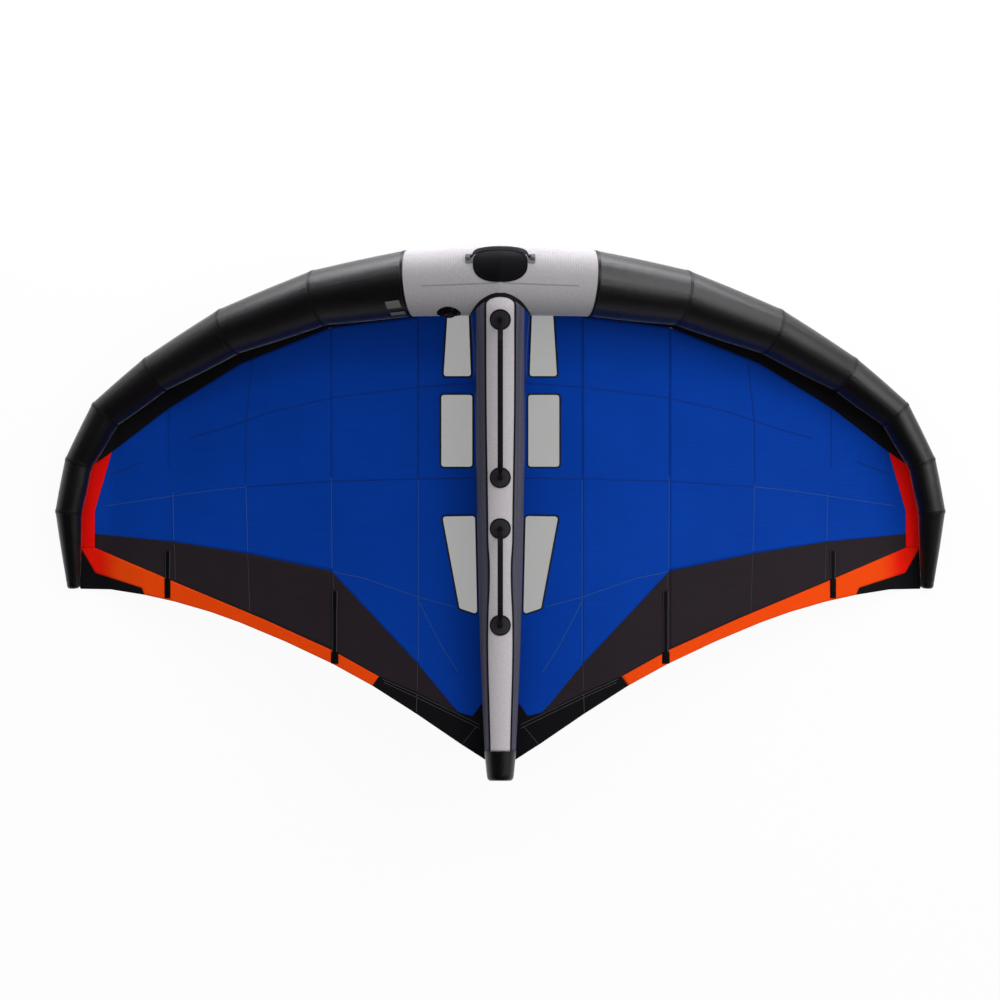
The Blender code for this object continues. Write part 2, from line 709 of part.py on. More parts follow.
def strut_strip():
    """The pale strip along the top of the strut, round at the front."""
    front = LENGTH / 2 - STRIP_FRONT_SHARE * LENGTH
    shoulder = LENGTH / 2 - STRIP_SHOULDER_SHARE * LENGTH
    wide = STRIP_HALF_TURN * STRUT_RADIUS
    arc = [Vector((wide * math.sin(turn), blend(shoulder, front, math.cos(turn))))
           for turn in (math.pi / 2 * step / CORNER_STEPS for step in range(CORNER_STEPS + 1))]
    right = arc + [Vector((STRIP_TAIL_HALF_TURN * STRUT_RADIUS, strut_end + CLOTH))]
    left = [Vector((-point.x, point.y)) for point in right[:0:-1]]
    facet = 2 * math.pi / STRUT_SIDES * STRUT_RADIUS

    def surface(across, y):
        return on_strut(across / STRUT_RADIUS, y, LAY_GAP)

    sheet("strut_centre_strip", right + left, print_cloth, surface, cell=LENGTH, outward=True,
          lines=[facet * k for k in range(-2, 3)], rows=strut_rows(front, strut_end))


# Handles on the strut
def pivot(place_share):
    y = LENGTH / 2 - place_share * LENGTH
    under = LAY_GAP + CLOTH + ANCHOR_GAP + ANCHOR_THICKNESS
    return on_strut(0, y, under + PIVOT_HEIGHT)


def anchor(name, place_share, line):
    """A round patch that follows the strut, with a stiff fold that holds the end of the handle."""
    y = LENGTH / 2 - place_share * LENGTH
    turns = [2 * math.pi * step / TUBE_SIDES for step in range(TUBE_SIDES)]
    outline = [Vector((math.cos(turn), math.sin(turn))) * ANCHOR_RADIUS + Vector((0, y)) for turn in turns]

    def surface(across, place):
        return on_strut(across / strut_radius(place), place, LAY_GAP + CLOTH + ANCHOR_GAP)

    made = sheet(name, outline, patch_rubber, surface, cell=ANCHOR_RADIUS / 2, thickness=ANCHOR_THICKNESS,
                 outward=True, rows=strut_rows(y + ANCHOR_RADIUS, y - ANCHOR_RADIUS))
    up = line.cross(Vector((1, 0, 0)))
    if up.z < 0:
        up.negate()
    foot = PIVOT_HEIGHT + ANCHOR_THICKNESS / 2
    centre = pivot(place_share) + up * (BOSS_HEIGHT / 2 - foot)
    place = frame_at(centre, up, Vector((1, 0, 0)))
    fold = box_object(name + "_fold", (BOSS_WIDTH, BOSS_LENGTH, BOSS_HEIGHT), place)
    combine(made, fold, "UNION")
    return made


def strut_handle(name, shares):
    """A padded grip between two anchors, which swings about the line through them."""
    front, rear = pivot(shares[0]), pivot(shares[1])
    line = (rear - front).normalized()
    anchor(name + "_anchor_front", shares[0], line)
    anchor(name + "_anchor_rear", shares[1], line)
    up = line.cross(Vector((1, 0, 0)))
    if up.z < 0:
        up.negate()
    inset = BOSS_LENGTH / 2 + SEAM_GAP
    length = (rear - front).length - 2 * inset
    start = front + line * inset
    half = [(0, 0, LEG_RADIUS)]
    for step in range(LEG_STEPS + 1):
        part = step / LEG_STEPS
        high = HANDLE_HEIGHT * part * part * (3 - 2 * part)
        half.append((LEG_START + LEG_RUN * part, high, blend(LEG_RADIUS, GRIP_RADIUS, part)))
    whole = half + [(length - run, high, width) for run, high, width in half[::-1]]
    points = [start + line * run + up * high for run, high, width in whole]
    mesh = tube_mesh(name, points, [width for run, high, width in whole], GRIP_SIDES)
    move_origin(add_object(name, mesh, grip_foam), start)


# Handle on the nose
def nose_handle():
    """A strap that stands over a pad on the nose, held by a tab at each end."""
    pad_middle = PAD_HEIGHT / 2

    def pad_point(turn):
        return Vector((PAD_HALF_WIDTH * math.cos(turn), pad_middle * (1 + math.sin(turn))))

    outline = [pad_point(2 * math.pi * step / TUBE_SIDES) for step in range(TUBE_SIDES)]

    def surface(x, round_top):
        return on_nose(x, round_top, TUBE_GAP)

    sheet("nose_handle_pad", outline, patch_rubber, surface, cell=PAD_HEIGHT / 5, thickness=PAD_THICKNESS,
          outward=True)
    tab_round = NOSE_RADIUS * STRAP_ANGLE
    for word, side in sides():
        half = Vector((TAB_WIDTH / 2, TAB_HEIGHT / 2))
        middle = Vector((TAB_PLACE, tab_round))
        corners = ((-1, -1), (1, -1), (1, 1), (-1, 1))
        corner_points = [middle + Vector((half.x * x, half.y * y)) for x, y in corners]
        tab = sheet("nose_handle_tab_" + word, corner_points, tab_cloth, surface, cell=TAB_HEIGHT / 4,
                    thickness=TAB_THICKNESS, outward=True, side=side)
        fold_place = strap_pivot(side) + Vector((side * (TAB_PLACE - strap_end()), 0, 0))
        sunk = fold_place - strap_up() * (PIVOT_HEIGHT + TAB_THICKNESS / 2 - TAB_BOSS_HEIGHT / 2)
        place = frame_at(sunk, strap_up(), Vector((1, 0, 0)))
        fold = box_object("tab_fold_" + word, (TAB_WIDTH - CLOTH, TAB_BOSS_DEPTH, TAB_BOSS_HEIGHT), place)
        combine(tab, fold, "UNION")
    strap()


def strap_up():
    return Vector((0, math.sin(STRAP_ANGLE), math.cos(STRAP_ANGLE)))


def strap_end():
    return TAB_PLACE - (TAB_WIDTH - CLOTH) / 2 - SEAM_GAP


def strap_pivot(side):
    """Where the strap ends: on its hinge line, at the inner face of a tab's fold."""
    base = on_nose(TAB_PLACE, NOSE_RADIUS * STRAP_ANGLE, TUBE_GAP + TAB_THICKNESS + PIVOT_HEIGHT)
    return Vector((side * strap_end(), base.y, base.z))


def strap():
    lean = Vector((0, math.sin(STRAP_LEAN), math.cos(STRAP_LEAN)))
    left, right = strap_pivot(-1), strap_pivot(1)
    reach = strap_end() - LEG_START
    turns = [math.pi * step / (2 * CORNER_STEPS) for step in range(1, 2 * CORNER_STEPS)]
    middle = (left + right) / 2
    arch = [middle + Vector((-reach * math.cos(turn), 0, 0))
            + lean * STRAP_HEIGHT * math.sin(turn) ** (2 / 3) for turn in turns]
    points = [left, left + Vector((LEG_START, 0, 0))] + arch + [right - Vector((LEG_START, 0, 0)), right]
    mesh = tube_mesh("nose_handle", points, [STRAP_RADIUS] * len(points), BLADDER_SIDES)
    move_origin(add_object("nose_handle", mesh, strap_webbing), left)


# Canopy
chevron_end = plan(CHEVRON_END_SHARE, 0).x


def canopy():
    seam = plan(CENTRE_SEAM_SHARE, 0).x
    outer = plan(OUTER_SEAM_SHARE, 0).x
    blue_rear = plans(blue_rear_shares)
    orange_top = plans(orange_top_shares)
    chevron_top = plans(chevron_top_shares)
    strip_rear = plans(strip_rear_shares)

    def front_at(x):
        return Vector((x, along_table(attach_back, x)))

    def kinks_between(low, high):
        return [Vector((point.x, point.y)) for point in attach[:TIP_KINK + 2] if low < point.x < high]

    right_rear = [point for point in blue_rear if point.x <= seam + CLOTH]
    right = [front_at(0)] + kinks_between(0, seam) + [front_at(seam)] + right_rear
    left = [Vector((-point.x, point.y)) for point in right[-2:0:-1]]
    centre = canopy_panel("canopy_centre_panel", right + left, blue_cloth)

    for word, side in sides():
        for level, corners in window_shares.items():
            window(centre, word, side, level, anticlockwise(plans(corners)))
        inner_top = [point for point in strip_rear if seam - CLOTH <= point.x <= outer]
        strip_at_outer = Vector((outer, along_table([(p.x, p.y) for p in strip_rear], outer)))
        rear_inner = [point for point in blue_rear if seam - CLOTH <= point.x <= outer + CLOTH]
        inner = inner_top + [strip_at_outer] + rear_inner
        canopy_panel(f"canopy_inner_panel_{word}", inner, blue_cloth, side)

        outer_top = [point for point in strip_rear[:-1] if point.x > outer + CLOTH]
        outer_rear = [point for point in blue_rear if point.x >= outer - CLOTH]
        red_edge = plans(red_inner_shares[1:2])
        canopy_panel(f"canopy_outer_panel_{word}", [strip_at_outer] + outer_top + red_edge + outer_rear,
                     blue_cloth, side)

        tip_attach = Vector((attach[TIP_KINK + 1].x, attach[TIP_KINK + 1].y))
        strip_front = [front_at(seam)] + kinks_between(seam, tip_attach.x) + [tip_attach]
        canopy_panel(f"canopy_front_strip_{word}", strip_front + strip_rear[::-1], black_cloth, side)

        tip_panels(word, side, tip_attach, orange_top)
        charcoal_panels(word, side, blue_rear, orange_top, chevron_top, outer)

        corner = plans(corner_shares)
        orange_tail = [point for point in tail if chevron_end - CLOTH < point.x < corner[-1].x]
        orange = orange_top + orange_tail[::-1] + corner[:0:-1]
        canopy_panel(f"trailing_edge_band_{word}", orange, orange_cloth, side)

    chevron()


def tip_panels(word, side, tip_attach, orange_top):
    """The red band beside the tip, and the black corner behind it."""
    bottom = plan(0, RED_BOTTOM_SHARE).y
    outer_line = [(point.x, point.y) for point in attach[TIP_KINK + 1:]]
    crossing = next(Vector((blend(a[0], b[0], (a[1] - bottom) / (a[1] - b[1])), bottom))
                    for a, b in zip(outer_line, outer_line[1:]) if a[1] >= bottom >= b[1])
    between = [Vector(pair) for pair in outer_line[1:] if pair[1] > bottom]
    red = [tip_attach] + between + [crossing] + orange_top[:2] + plans(red_inner_shares)
    canopy_panel(f"tip_band_{word}", red, red_cloth, side)
    end = Vector(outer_line[-1])
    corner = plans(corner_shares)
    tail_corner = [point for point in tail if point.x > corner[-1].x + CLOTH]
    canopy_panel(f"tip_corner_{word}", [crossing, end] + tail_corner + corner[::-1], black_cloth, side)


def charcoal_panels(word, side, blue_rear, orange_top, chevron_top, outer):
    """The two dark panels behind the blue ones."""
    outer_edge = [point for point in blue_rear if point.x >= outer - CLOTH]
    outer_low = [point for point in orange_top[1:] if point.x >= outer - CLOTH]
    canopy_panel(f"rear_panel_outer_{word}", outer_edge[::-1] + outer_low, charcoal_cloth, side)
    inner_edge = [point for point in blue_rear if point.x <= outer + CLOTH]
    inner_low = [point for point in orange_top if point.x <= outer + CLOTH]
    canopy_panel(f"rear_panel_inner_{word}", inner_edge + chevron_top[::-1] + inner_low[::-1][1:],
                 charcoal_cloth, side)


def chevron():
    """The black reinforcement across the middle of the trailing edge."""
    top = plans(chevron_top_shares)
    right = [point for point in tail[::-1] if point.x < chevron_end + CLOTH] + top[:-1]
    left = [Vector((-point.x, point.y)) for point in right[:0:-1]]
    canopy_panel("trailing_edge_chevron", right + [top[-1]] + left, black_cloth)


def window(centre, word, side, level, corners):
    """A clear window, and the hole for it in the centre panel."""
    name = f"window_{level}_{word}"
    pane = rounded(corners, WINDOW_CORNER)
    sheet(name, pane, window_film, on_canopy, side=side)
    hole = drawn_in(pane, -WINDOW_GAP)
    if side < 0:
        hole = anticlockwise([Vector((-point.x, point.y)) for point in hole])
    bm = bmesh.new()
    low = bm.faces.new([bm.verts.new((point.x, point.y, 0)) for point in hole])
    raised = bmesh.ops.extrude_face_region(bm, geom=[low])
    top = [item for item in raised["geom"] if isinstance(item, bmesh.types.BMVert)]
    bmesh.ops.translate(bm, vec=(0, 0, NOSE_LIFT + NOSE_DIAMETER), verts=top)
    bmesh.ops.recalc_face_normals(bm, faces=bm.faces[:])
    combine(centre, bm_object(name + "_hole", bm, None, cutters), "DIFFERENCE")


# Battens in their pockets
def battens():
    """A flat batten under a low arched pocket, near the trailing edge."""
    for word, side in sides():
        for level, (across, front, rear) in pocket_shares.items():
            first, last = plan(across, front), plan(across, rear)
            batten_and_pocket(f"{level}_{word}", side, first, last)


def batten_and_pocket(name, side, first, last):
    middle = first.x
    half = POCKET_WIDTH / 2
    flat = BATTEN_WIDTH / 2 + 2 * LAY_GAP

    def arched(x, y):
        off = abs(abs(x) - middle)
        part = min(max((half - off) / (half - flat), 0), 1)
        return on_canopy(x, y) + Vector((0, 0, LAY_GAP + POCKET_RISE * part))

    def laid(x, y):
        return on_canopy(x, y) + Vector((0, 0, LAY_GAP))

    def rectangle(width, margin):
        return [Vector((middle - width, last.y + margin)), Vector((middle + width, last.y + margin)),
                Vector((middle + width, first.y - margin)), Vector((middle - width, first.y - margin))]

    lines = (middle - flat, middle + flat)
    sheet(f"batten_pocket_{name}", rectangle(half, 0), black_cloth, arched, thickness=POCKET_CLOTH,
          outward=True, side=side, lines=lines)
    sheet(f"batten_{name}", rectangle(BATTEN_WIDTH / 2, 2 * CLOTH), batten_plastic, laid,
          thickness=BATTEN_THICKNESS, outward=True, side=side)


leading_edge()
leading_edge_bladder()
valve()
strut()
strut_handle("front_handle", front_handle_shares)
strut_handle("rear_handle", rear_handle_shares)
nose_handle()
canopy()
battens()
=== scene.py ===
# %% [markdown]
# # A wingfoil wing, dressed for its picture
# A wingfoil wing is a small kite without lines: an air-filled tube for its leading edge, a second
# one for its strut, and a cloth canopy stretched between them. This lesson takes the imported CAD
# model as a fixed frame and makes the cloth, rubber and webbing that the eye meets.
# Every surface is a function of two parameters on a grid, worked out by numpy as whole arrays.

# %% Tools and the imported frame
import json

import bmesh
import bpy
import numpy as np
from mathutils import Matrix


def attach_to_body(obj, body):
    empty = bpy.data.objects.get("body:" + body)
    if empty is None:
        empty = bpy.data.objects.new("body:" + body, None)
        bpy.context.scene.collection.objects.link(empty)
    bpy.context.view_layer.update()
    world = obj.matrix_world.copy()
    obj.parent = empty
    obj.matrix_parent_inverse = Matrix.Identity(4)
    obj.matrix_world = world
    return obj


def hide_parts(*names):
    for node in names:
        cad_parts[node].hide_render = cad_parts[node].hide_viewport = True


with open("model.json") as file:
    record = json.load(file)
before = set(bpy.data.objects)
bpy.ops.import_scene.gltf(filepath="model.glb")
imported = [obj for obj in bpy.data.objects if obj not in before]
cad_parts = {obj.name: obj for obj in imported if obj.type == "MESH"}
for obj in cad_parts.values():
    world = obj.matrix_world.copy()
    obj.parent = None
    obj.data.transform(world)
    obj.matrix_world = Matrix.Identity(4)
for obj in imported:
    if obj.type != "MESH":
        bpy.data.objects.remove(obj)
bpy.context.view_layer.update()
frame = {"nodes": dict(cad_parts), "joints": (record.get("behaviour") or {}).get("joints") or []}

# %% [markdown]
# ## The sizes of the wing
# The wing is drawn in plan: places are shares of the half span and of the length behind the nose.
# The same tables made the CAD model, so what is built here lies on its solids without fitting.

# %% Sizes and tables
HALF_SPAN = 1.625
LENGTH = 1.95
NOSE_RADIUS = 0.129
NOSE_LIFT = 0.36
TAIL_LIFT = 0.40
CAMBER = 0.055
CAMBER_LEAN = 0.5
STRUT_RADIUS = 0.1075
TUBE_GAP = 0.001
LAY_GAP = 0.0005
CLOTH = 0.001
TIP_KINK = 5
MILLIMETRE = 0.001
UP = np.array((0.0, 0.0, 1.0))
ACROSS = np.array((1.0, 0.0, 0.0))

axis_shares = ((0.0, 0.0662), (0.206, 0.073), (0.405, 0.099), (0.607, 0.161), (0.774, 0.241),
               (0.887, 0.316), (0.947, 0.408), (0.969, 0.499), (0.959, 0.630))
radius_shares = (1.0, 0.93, 0.79, 0.68, 0.55, 0.465, 0.394, 0.375, 0.19)
lift_shares = (1.0, 0.93, 0.69, 0.36, 0.06, 0.0, 0.0, 0.0, 0.0)
tail_shares = ((0.943, 0.643), (0.875, 0.644), (0.799, 0.654), (0.729, 0.667), (0.650, 0.686),
               (0.583, 0.706), (0.482, 0.741), (0.377, 0.782), (0.287, 0.823), (0.187, 0.876),
               (0.090, 0.931), (0.0, 0.979))
tail_lift_shares = (0.03, 0.09, 0.20, 0.28, 0.38, 0.46, 0.59, 0.72, 0.82, 0.91, 0.97, 1.0)
strut_shares = ((0.0, 1.0), (0.134, 1.0), (0.187, 0.925), (0.258, 0.88), (0.533, 0.78),
                (0.794, 0.66), (0.946, 0.525), (1.0, 0.46))


# %% [markdown]
# ## Reading a place from the tables
# A share becomes metres in plan. Between the entries of a table a value runs straight, as the CAD
# model has it, or on a cubic, which keeps creases out of the light on the cloth.

# %% Places in plan and smooth tables
def unit(vectors):
    """Each vector divided by its own length."""
    vectors = np.asarray(vectors, float)
    return vectors / np.linalg.norm(vectors, axis=-1, keepdims=True)


def plans(shares):
    """Shares of the half span and of the length become x = across * HALF_SPAN and
    y = LENGTH / 2 - back * LENGTH."""
    shares = np.asarray(shares, float)
    return np.stack((shares[..., 0] * HALF_SPAN, LENGTH / 2 - shares[..., 1] * LENGTH), axis=-1)


def straight(table, place):
    """The value in a table of (place, value) rows, on straight lines between its rows."""
    return np.interp(place, table[:, 0], table[:, 1])


def cubic(table, place):
    """The value on a cubic between rows: the slope at a row is the mean of those beside it."""
    places, values = table[:, 0], table[:, 1]
    slopes = np.gradient(values, places)
    row = np.clip(np.searchsorted(places, place) - 1, 0, len(places) - 2)
    run = places[row + 1] - places[row]
    part = np.clip((place - places[row]) / run, 0, 1)
    rise = part * part * (3 - 2 * part)
    lead = part * (1 - part) ** 2 * run * slopes[row]
    trail = part * part * (part - 1) * run * slopes[row + 1]
    return values[row] * (1 - rise) + values[row + 1] * rise + lead + trail


def ease(low, high, place):
    """0 before low, 1 after high, and 3 t t - 2 t t t between them."""
    part = np.clip((place - low) / (high - low), 0, 1)
    return part * part * (3 - 2 * part)


# %% [markdown]
# ## The axis of the leading edge
# The tube's axis is a chain of straight runs with kinks between them, where the sleeve's panels
# are sewn together. At a kink two panels meet in the plane that halves the bend, the mitre.

# %% Axis, radii and mitres
flat_axis = plans(axis_shares)
radii = NOSE_RADIUS * np.array(radius_shares)
axis = np.column_stack((flat_axis, NOSE_LIFT * np.array(lift_shares) + radii))
runs = unit(np.diff(axis, axis=0))
mitres = np.vstack((ACROSS, unit(runs[:-1] + runs[1:]), runs[-1]))


def attach_points():
    """Where the canopy meets the tube at each kink, 45 degrees below the tube's rear side."""
    rearward = unit(np.cross(mitres, UP))
    downward = unit(np.cross(rearward, mitres))
    downward = downward * -np.sign(downward[:, 2:])
    way = unit(rearward + downward)
    along = np.vstack((runs, runs[-1]))
    lean = np.sum(way * along, axis=1)
    reach = (radii + TUBE_GAP) / np.sqrt(1 - lean ** 2)
    return axis + way * reach[:, None]


attach = attach_points()
print("leading edge:", len(runs), "runs to a side, tube", round(2000 * radii[0]), "mm thick at the nose")

# %% [markdown]
# ## The height of the canopy
# From the tube to the trailing edge the cloth follows a straight line, less a camber that bows
# down and is deepest before the middle of the chord. Beside the tips it turns into the height of
# the tube's own seam. Cubic tables keep it smooth, and a share that fades to the rear brings its
# front edge exactly to the seam on the kinked tube.

# %% Canopy height
tail = plans(tail_shares)
attach_back = attach[:TIP_KINK + 2, :2]
attach_lift = attach[:TIP_KINK + 2, ::2]
tip_lift = attach[TIP_KINK:, 1:][::-1]
tail_back = tail[::-1]
tail_lift = np.column_stack((tail[:, 0], TAIL_LIFT * np.array(tail_lift_shares)))[::-1]
middle_chord = attach[0, 1] - tail[-1, 1]


def bowed_height(x, y):
    """Straight line from tube to tail, less depth * 4 p (1 - p) (1 + lean (1/2 - p))."""
    front = cubic(attach_back, x)
    chord = front - cubic(tail_back, x)
    part = (front - y) / chord
    bow = 4 * part * (1 - part) * (1 + CAMBER_LEAN * (0.5 - part))
    depth = CAMBER * chord * np.sqrt(chord / middle_chord)
    low = cubic(attach_lift, x)
    return low + (cubic(tail_lift, x) - low) * part - depth * bow, part


def canopy_height(x, y):
    """Height of the canopy's upper face at a place in plan."""
    x, y = np.broadcast_arrays(np.abs(np.asarray(x, float)), np.asarray(y, float))
    main, part = bowed_height(x, y)
    edge_height, edge_part = bowed_height(x, straight(attach_back, x))
    main = main + (straight(attach_lift, x) - edge_height) * np.clip(1 - part, 0, 1) ** 3
    outward = ease(attach[TIP_KINK, 0], attach[TIP_KINK + 1, 0], x)
    return main + (straight(tip_lift, y) - main) * outward


def on_canopy(flat, lift=0.0):
    """Places in plan laid on the canopy, a lift above it."""
    flat = np.asarray(flat, float)
    high = canopy_height(flat[..., 0], flat[..., 1]) + lift
    return np.concatenate((flat, high[..., None]), axis=-1)


print("canopy at the middle of its chord:", round(float(canopy_height(0, 0)), 3), "m high")

# %% [markdown]
# ## The surface of the strut
# The strut is a tapering tube that lies along the canopy's centre line. At its front it runs out
# on the leading edge: there its top is drawn down until it meets the larger tube at the apex of
# the seam between them.

# %% Strut surface
STRUT_APEX = 0.798
STRUT_DIP_START = 0.74
STRUT_END = LENGTH / 2 - 0.946 * LENGTH
strut_table = np.array(strut_shares)


def strut_radius(y):
    return STRUT_RADIUS * cubic(strut_table, (LENGTH / 2 - y) / LENGTH)


def nose_top(y):
    """Height of the leading edge's upper side on the centre line."""
    return axis[0, 2] + np.sqrt(np.maximum(radii[0] ** 2 - (axis[0, 1] - y) ** 2, 0))


def strut_centre(y):
    return canopy_height(0, y) + LAY_GAP + strut_radius(y)


strut_drop = float(strut_centre(STRUT_APEX) + strut_radius(STRUT_APEX) - nose_top(STRUT_APEX))


def on_strut(turn, y, lift=0.0):
    """Turn is the angle from the top line: x = out sin(turn), z = centre + out cos(turn), less the
    dip to the leading edge, which is full on top and nothing below."""
    turn, y = np.broadcast_arrays(np.asarray(turn, float), np.asarray(y, float))
    out = strut_radius(y) + lift
    dip = strut_drop * ease(STRUT_DIP_START, STRUT_APEX, y) * (1 + np.cos(turn)) / 2
    return np.stack((out * np.sin(turn), y, strut_centre(y) + out * np.cos(turn) - dip), axis=-1)


def nose_clearance(points):
    """Distance from the surface of the leading edge's middle: that to its axis, less its radius."""
    folded = np.concatenate((np.abs(points[..., :1]), points[..., 1:]), axis=-1)
    way = folded - axis[0]
    along = way @ runs[0]
    off = np.linalg.norm(way - along[..., None] * runs[0], axis=-1)
    reach = np.linalg.norm(axis[1] - axis[0])
    return off - (radii[0] + (radii[1] - radii[0]) * along / reach)


def strut_front(turn, lift=0.0):
    """How far forward the strut's surface runs at each turn before it meets the leading edge: the
    place is halved in on, twenty-four times."""
    back = np.full(np.shape(turn), 0.6)
    ahead = np.full(np.shape(turn), STRUT_APEX + 4 * MILLIMETRE)
    for _ in range(24):
        middle = (back + ahead) / 2
        clear = nose_clearance(on_strut(turn, middle)) > lift
        back = np.where(clear, middle, back)
        ahead = np.where(clear, ahead, middle)
    return back


print("strut runs from y", round(float(strut_front(np.array(0.0))), 3), "to", round(STRUT_END, 3))

# %% [markdown]
# ## From a grid of points to a mesh
# A grid is an array of rows and columns of points. Each cell becomes a face, and each point
# carries its place on the flat cloth in metres as a UV, so a weave keeps its size. Where a tube
# closes on itself its last column repeats the first, and the doubles are merged afterwards, which
# keeps the UV seam and closes the poles. Another way would be to wrap the indices, but then the
# weave would run backwards over the last column.

# %% Grids to pieces
def grid_faces(rows, columns, start):
    """Corner numbers of each cell of a grid: a, a + 1, a + 1 + columns, a + columns."""
    corner = (np.arange(rows - 1)[:, None] * columns + np.arange(columns - 1)[None, :]).ravel() + start
    return np.stack((corner, corner + 1, corner + columns + 1, corner + columns), axis=1)


def flat_size(points):
    """A UV for a grid: the mean distance along its columns and along its rows, added up."""
    across = np.linalg.norm(np.diff(points, axis=1), axis=2).mean(axis=0)
    along = np.linalg.norm(np.diff(points, axis=0), axis=2).mean(axis=1)
    u = np.concatenate(((0.0,), np.cumsum(across)))
    v = np.concatenate(((0.0,), np.cumsum(along)))
    return np.stack(np.broadcast_arrays(u[None, :], v[:, None]), axis=-1)


def piece(name, grids, finish, node=None, body="wing", upward=False, wall=0.0, drop=None):
    """One object from one or more (points, uv) grids. Faces that drop marks are left out. A sheet
    is turned to face upward, anything else outward, and wall gives it a thickness inwards."""
    points, uvs, faces, start = [], [], [], 0
    for grid in grids:
        place, uv = grid if isinstance(grid, tuple) else (grid, flat_size(grid))
        rows, columns = place.shape[:2]
        cells = grid_faces(rows, columns, start)
        points.append(place.reshape(-1, 3))
        uvs.append(uv.reshape(-1, 2))
        faces.append(cells)
        start += rows * columns
    points, uvs, faces = np.vstack(points), np.vstack(uvs), np.vstack(faces)
    if drop is not None:
        faces = faces[~drop(points[faces].mean(axis=1))]
    mesh = bpy.data.meshes.new(name)
    mesh.from_pydata(points.tolist(), [], faces.tolist())
    corners = np.empty(len(mesh.loops), np.int32)
    mesh.loops.foreach_get("vertex_index", corners)
    layer = mesh.uv_layers.new(name="cloth")
    layer.data.foreach_set("uv", uvs[corners].astype(np.float32).ravel())
    bm = bmesh.new()
    bm.from_mesh(mesh)
    bmesh.ops.remove_doubles(bm, verts=bm.verts[:], dist=MILLIMETRE / 50)
    bmesh.ops.dissolve_degenerate(bm, edges=bm.edges[:], dist=MILLIMETRE / 100)
    loose = [vert for vert in bm.verts if not vert.link_faces]
    bmesh.ops.delete(bm, geom=loose, context="VERTS")
    bmesh.ops.recalc_face_normals(bm, faces=bm.faces[:])
    if upward and sum(face.normal.z * face.calc_area() for face in bm.faces) < 0:
        bmesh.ops.reverse_faces(bm, faces=bm.faces[:])
    bm.to_mesh(mesh)
    bm.free()
    mesh.shade_smooth()
    mesh.set_sharp_from_angle(angle=np.radians(50))
    mesh.materials.append(finish)
    made = bpy.data.objects.new(name, mesh)
    bpy.context.scene.collection.objects.link(made)
    if wall:
        solid = made.modifiers.new("wall", "SOLIDIFY")
        solid.thickness = wall
        solid.offset = -1
    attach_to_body(made, body)
    if node:
        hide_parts(*([node] if isinstance(node, str) else node))
    return made


def grid_area(points):
    """Sum of the cells' areas, each half the length of the product of its diagonals."""
    one = points[1:, 1:] - points[:-1, :-1]
    two = points[1:, :-1] - points[:-1, 1:]
    return float(np.linalg.norm(np.cross(one, two), axis=2).sum() / 2)


def declare_sheet(points, area=None, size=None):
    """The sheet's longest line each way, along its rows and along its columns, is returned. The area
    is not used. A cut that fills less than three tenths of that rectangle is declared at three
    tenths, the least there is."""
    area = grid_area(points) if area is None else area
    if size is None:
        size = [float(np.linalg.norm(np.diff(points, axis=way), axis=2).sum(axis=way).max())
                for way in (1, 0)]
    return size


def mirrored(points):
    """The same points on the other half of the wing."""
    return points * np.array((-1.0, 1.0, 1.0)[:points.shape[-1]])


SIDES = (("right", 1), ("left", -1))


def on_side(points, side):
    return points if side > 0 else mirrored(points)


# %% [markdown]
# ## Sums of shader nodes, written as sums
# A mask or a pattern is arithmetic. Adding Math nodes one by one hides it, so a small class wraps
# a socket and gives it the usual operators: 1 - mask then adds its own node. Any other node comes
# from one method, which sets its settings first and then feeds its sockets.

# %% Signals and finishes
class Signal:
    """A number, colour or vector on its way between two nodes. Sums are for numbers."""

    def __init__(self, finish, socket):
        self.finish = finish
        self.socket = socket

    def maths(self, operation, first, second=0.0, third=0.0):
        return self.finish.node("ShaderNodeMath", {"operation": operation}, {0: first, 1: second, 2: third})

    def __add__(self, other):
        return self.maths("ADD", self, other)

    def __radd__(self, other):
        return self.maths("ADD", other, self)

    def __sub__(self, other):
        return self.maths("SUBTRACT", self, other)

    def __rsub__(self, other):
        return self.maths("SUBTRACT", other, self)

    def __mul__(self, other):
        return self.maths("MULTIPLY", self, other)

    def __rmul__(self, other):
        return self.maths("MULTIPLY", other, self)

    def __truediv__(self, other):
        return self.maths("DIVIDE", self, other)

    def __abs__(self):
        return self.maths("ABSOLUTE", self)

    def wave(self, pitch):
        """A cosine of the signal with that pitch, from 0 to 1."""
        return self.maths("COSINE", self * (2 * np.pi / pitch)) * 0.5 + 0.5

    def cell(self, pitch, shift=0.0):
        """How far the signal is from the middle of its cell, in cells, from -1/2 to 1/2."""
        return self.maths("FRACT", self * (1 / pitch) + shift) - 0.5

    def between(self, low, high):
        """Soft step: 0 at low, 1 at high. High may be the lower of the two."""
        return self.finish.node("ShaderNodeMapRange", {"interpolation_type": "SMOOTHSTEP"},
                                {0: self, 1: low, 2: high, 3: 0.0, 4: 1.0})

    def least(self, other):
        return self.maths("MINIMUM", self, other)

    def most(self, other):
        return self.maths("MAXIMUM", self, other)


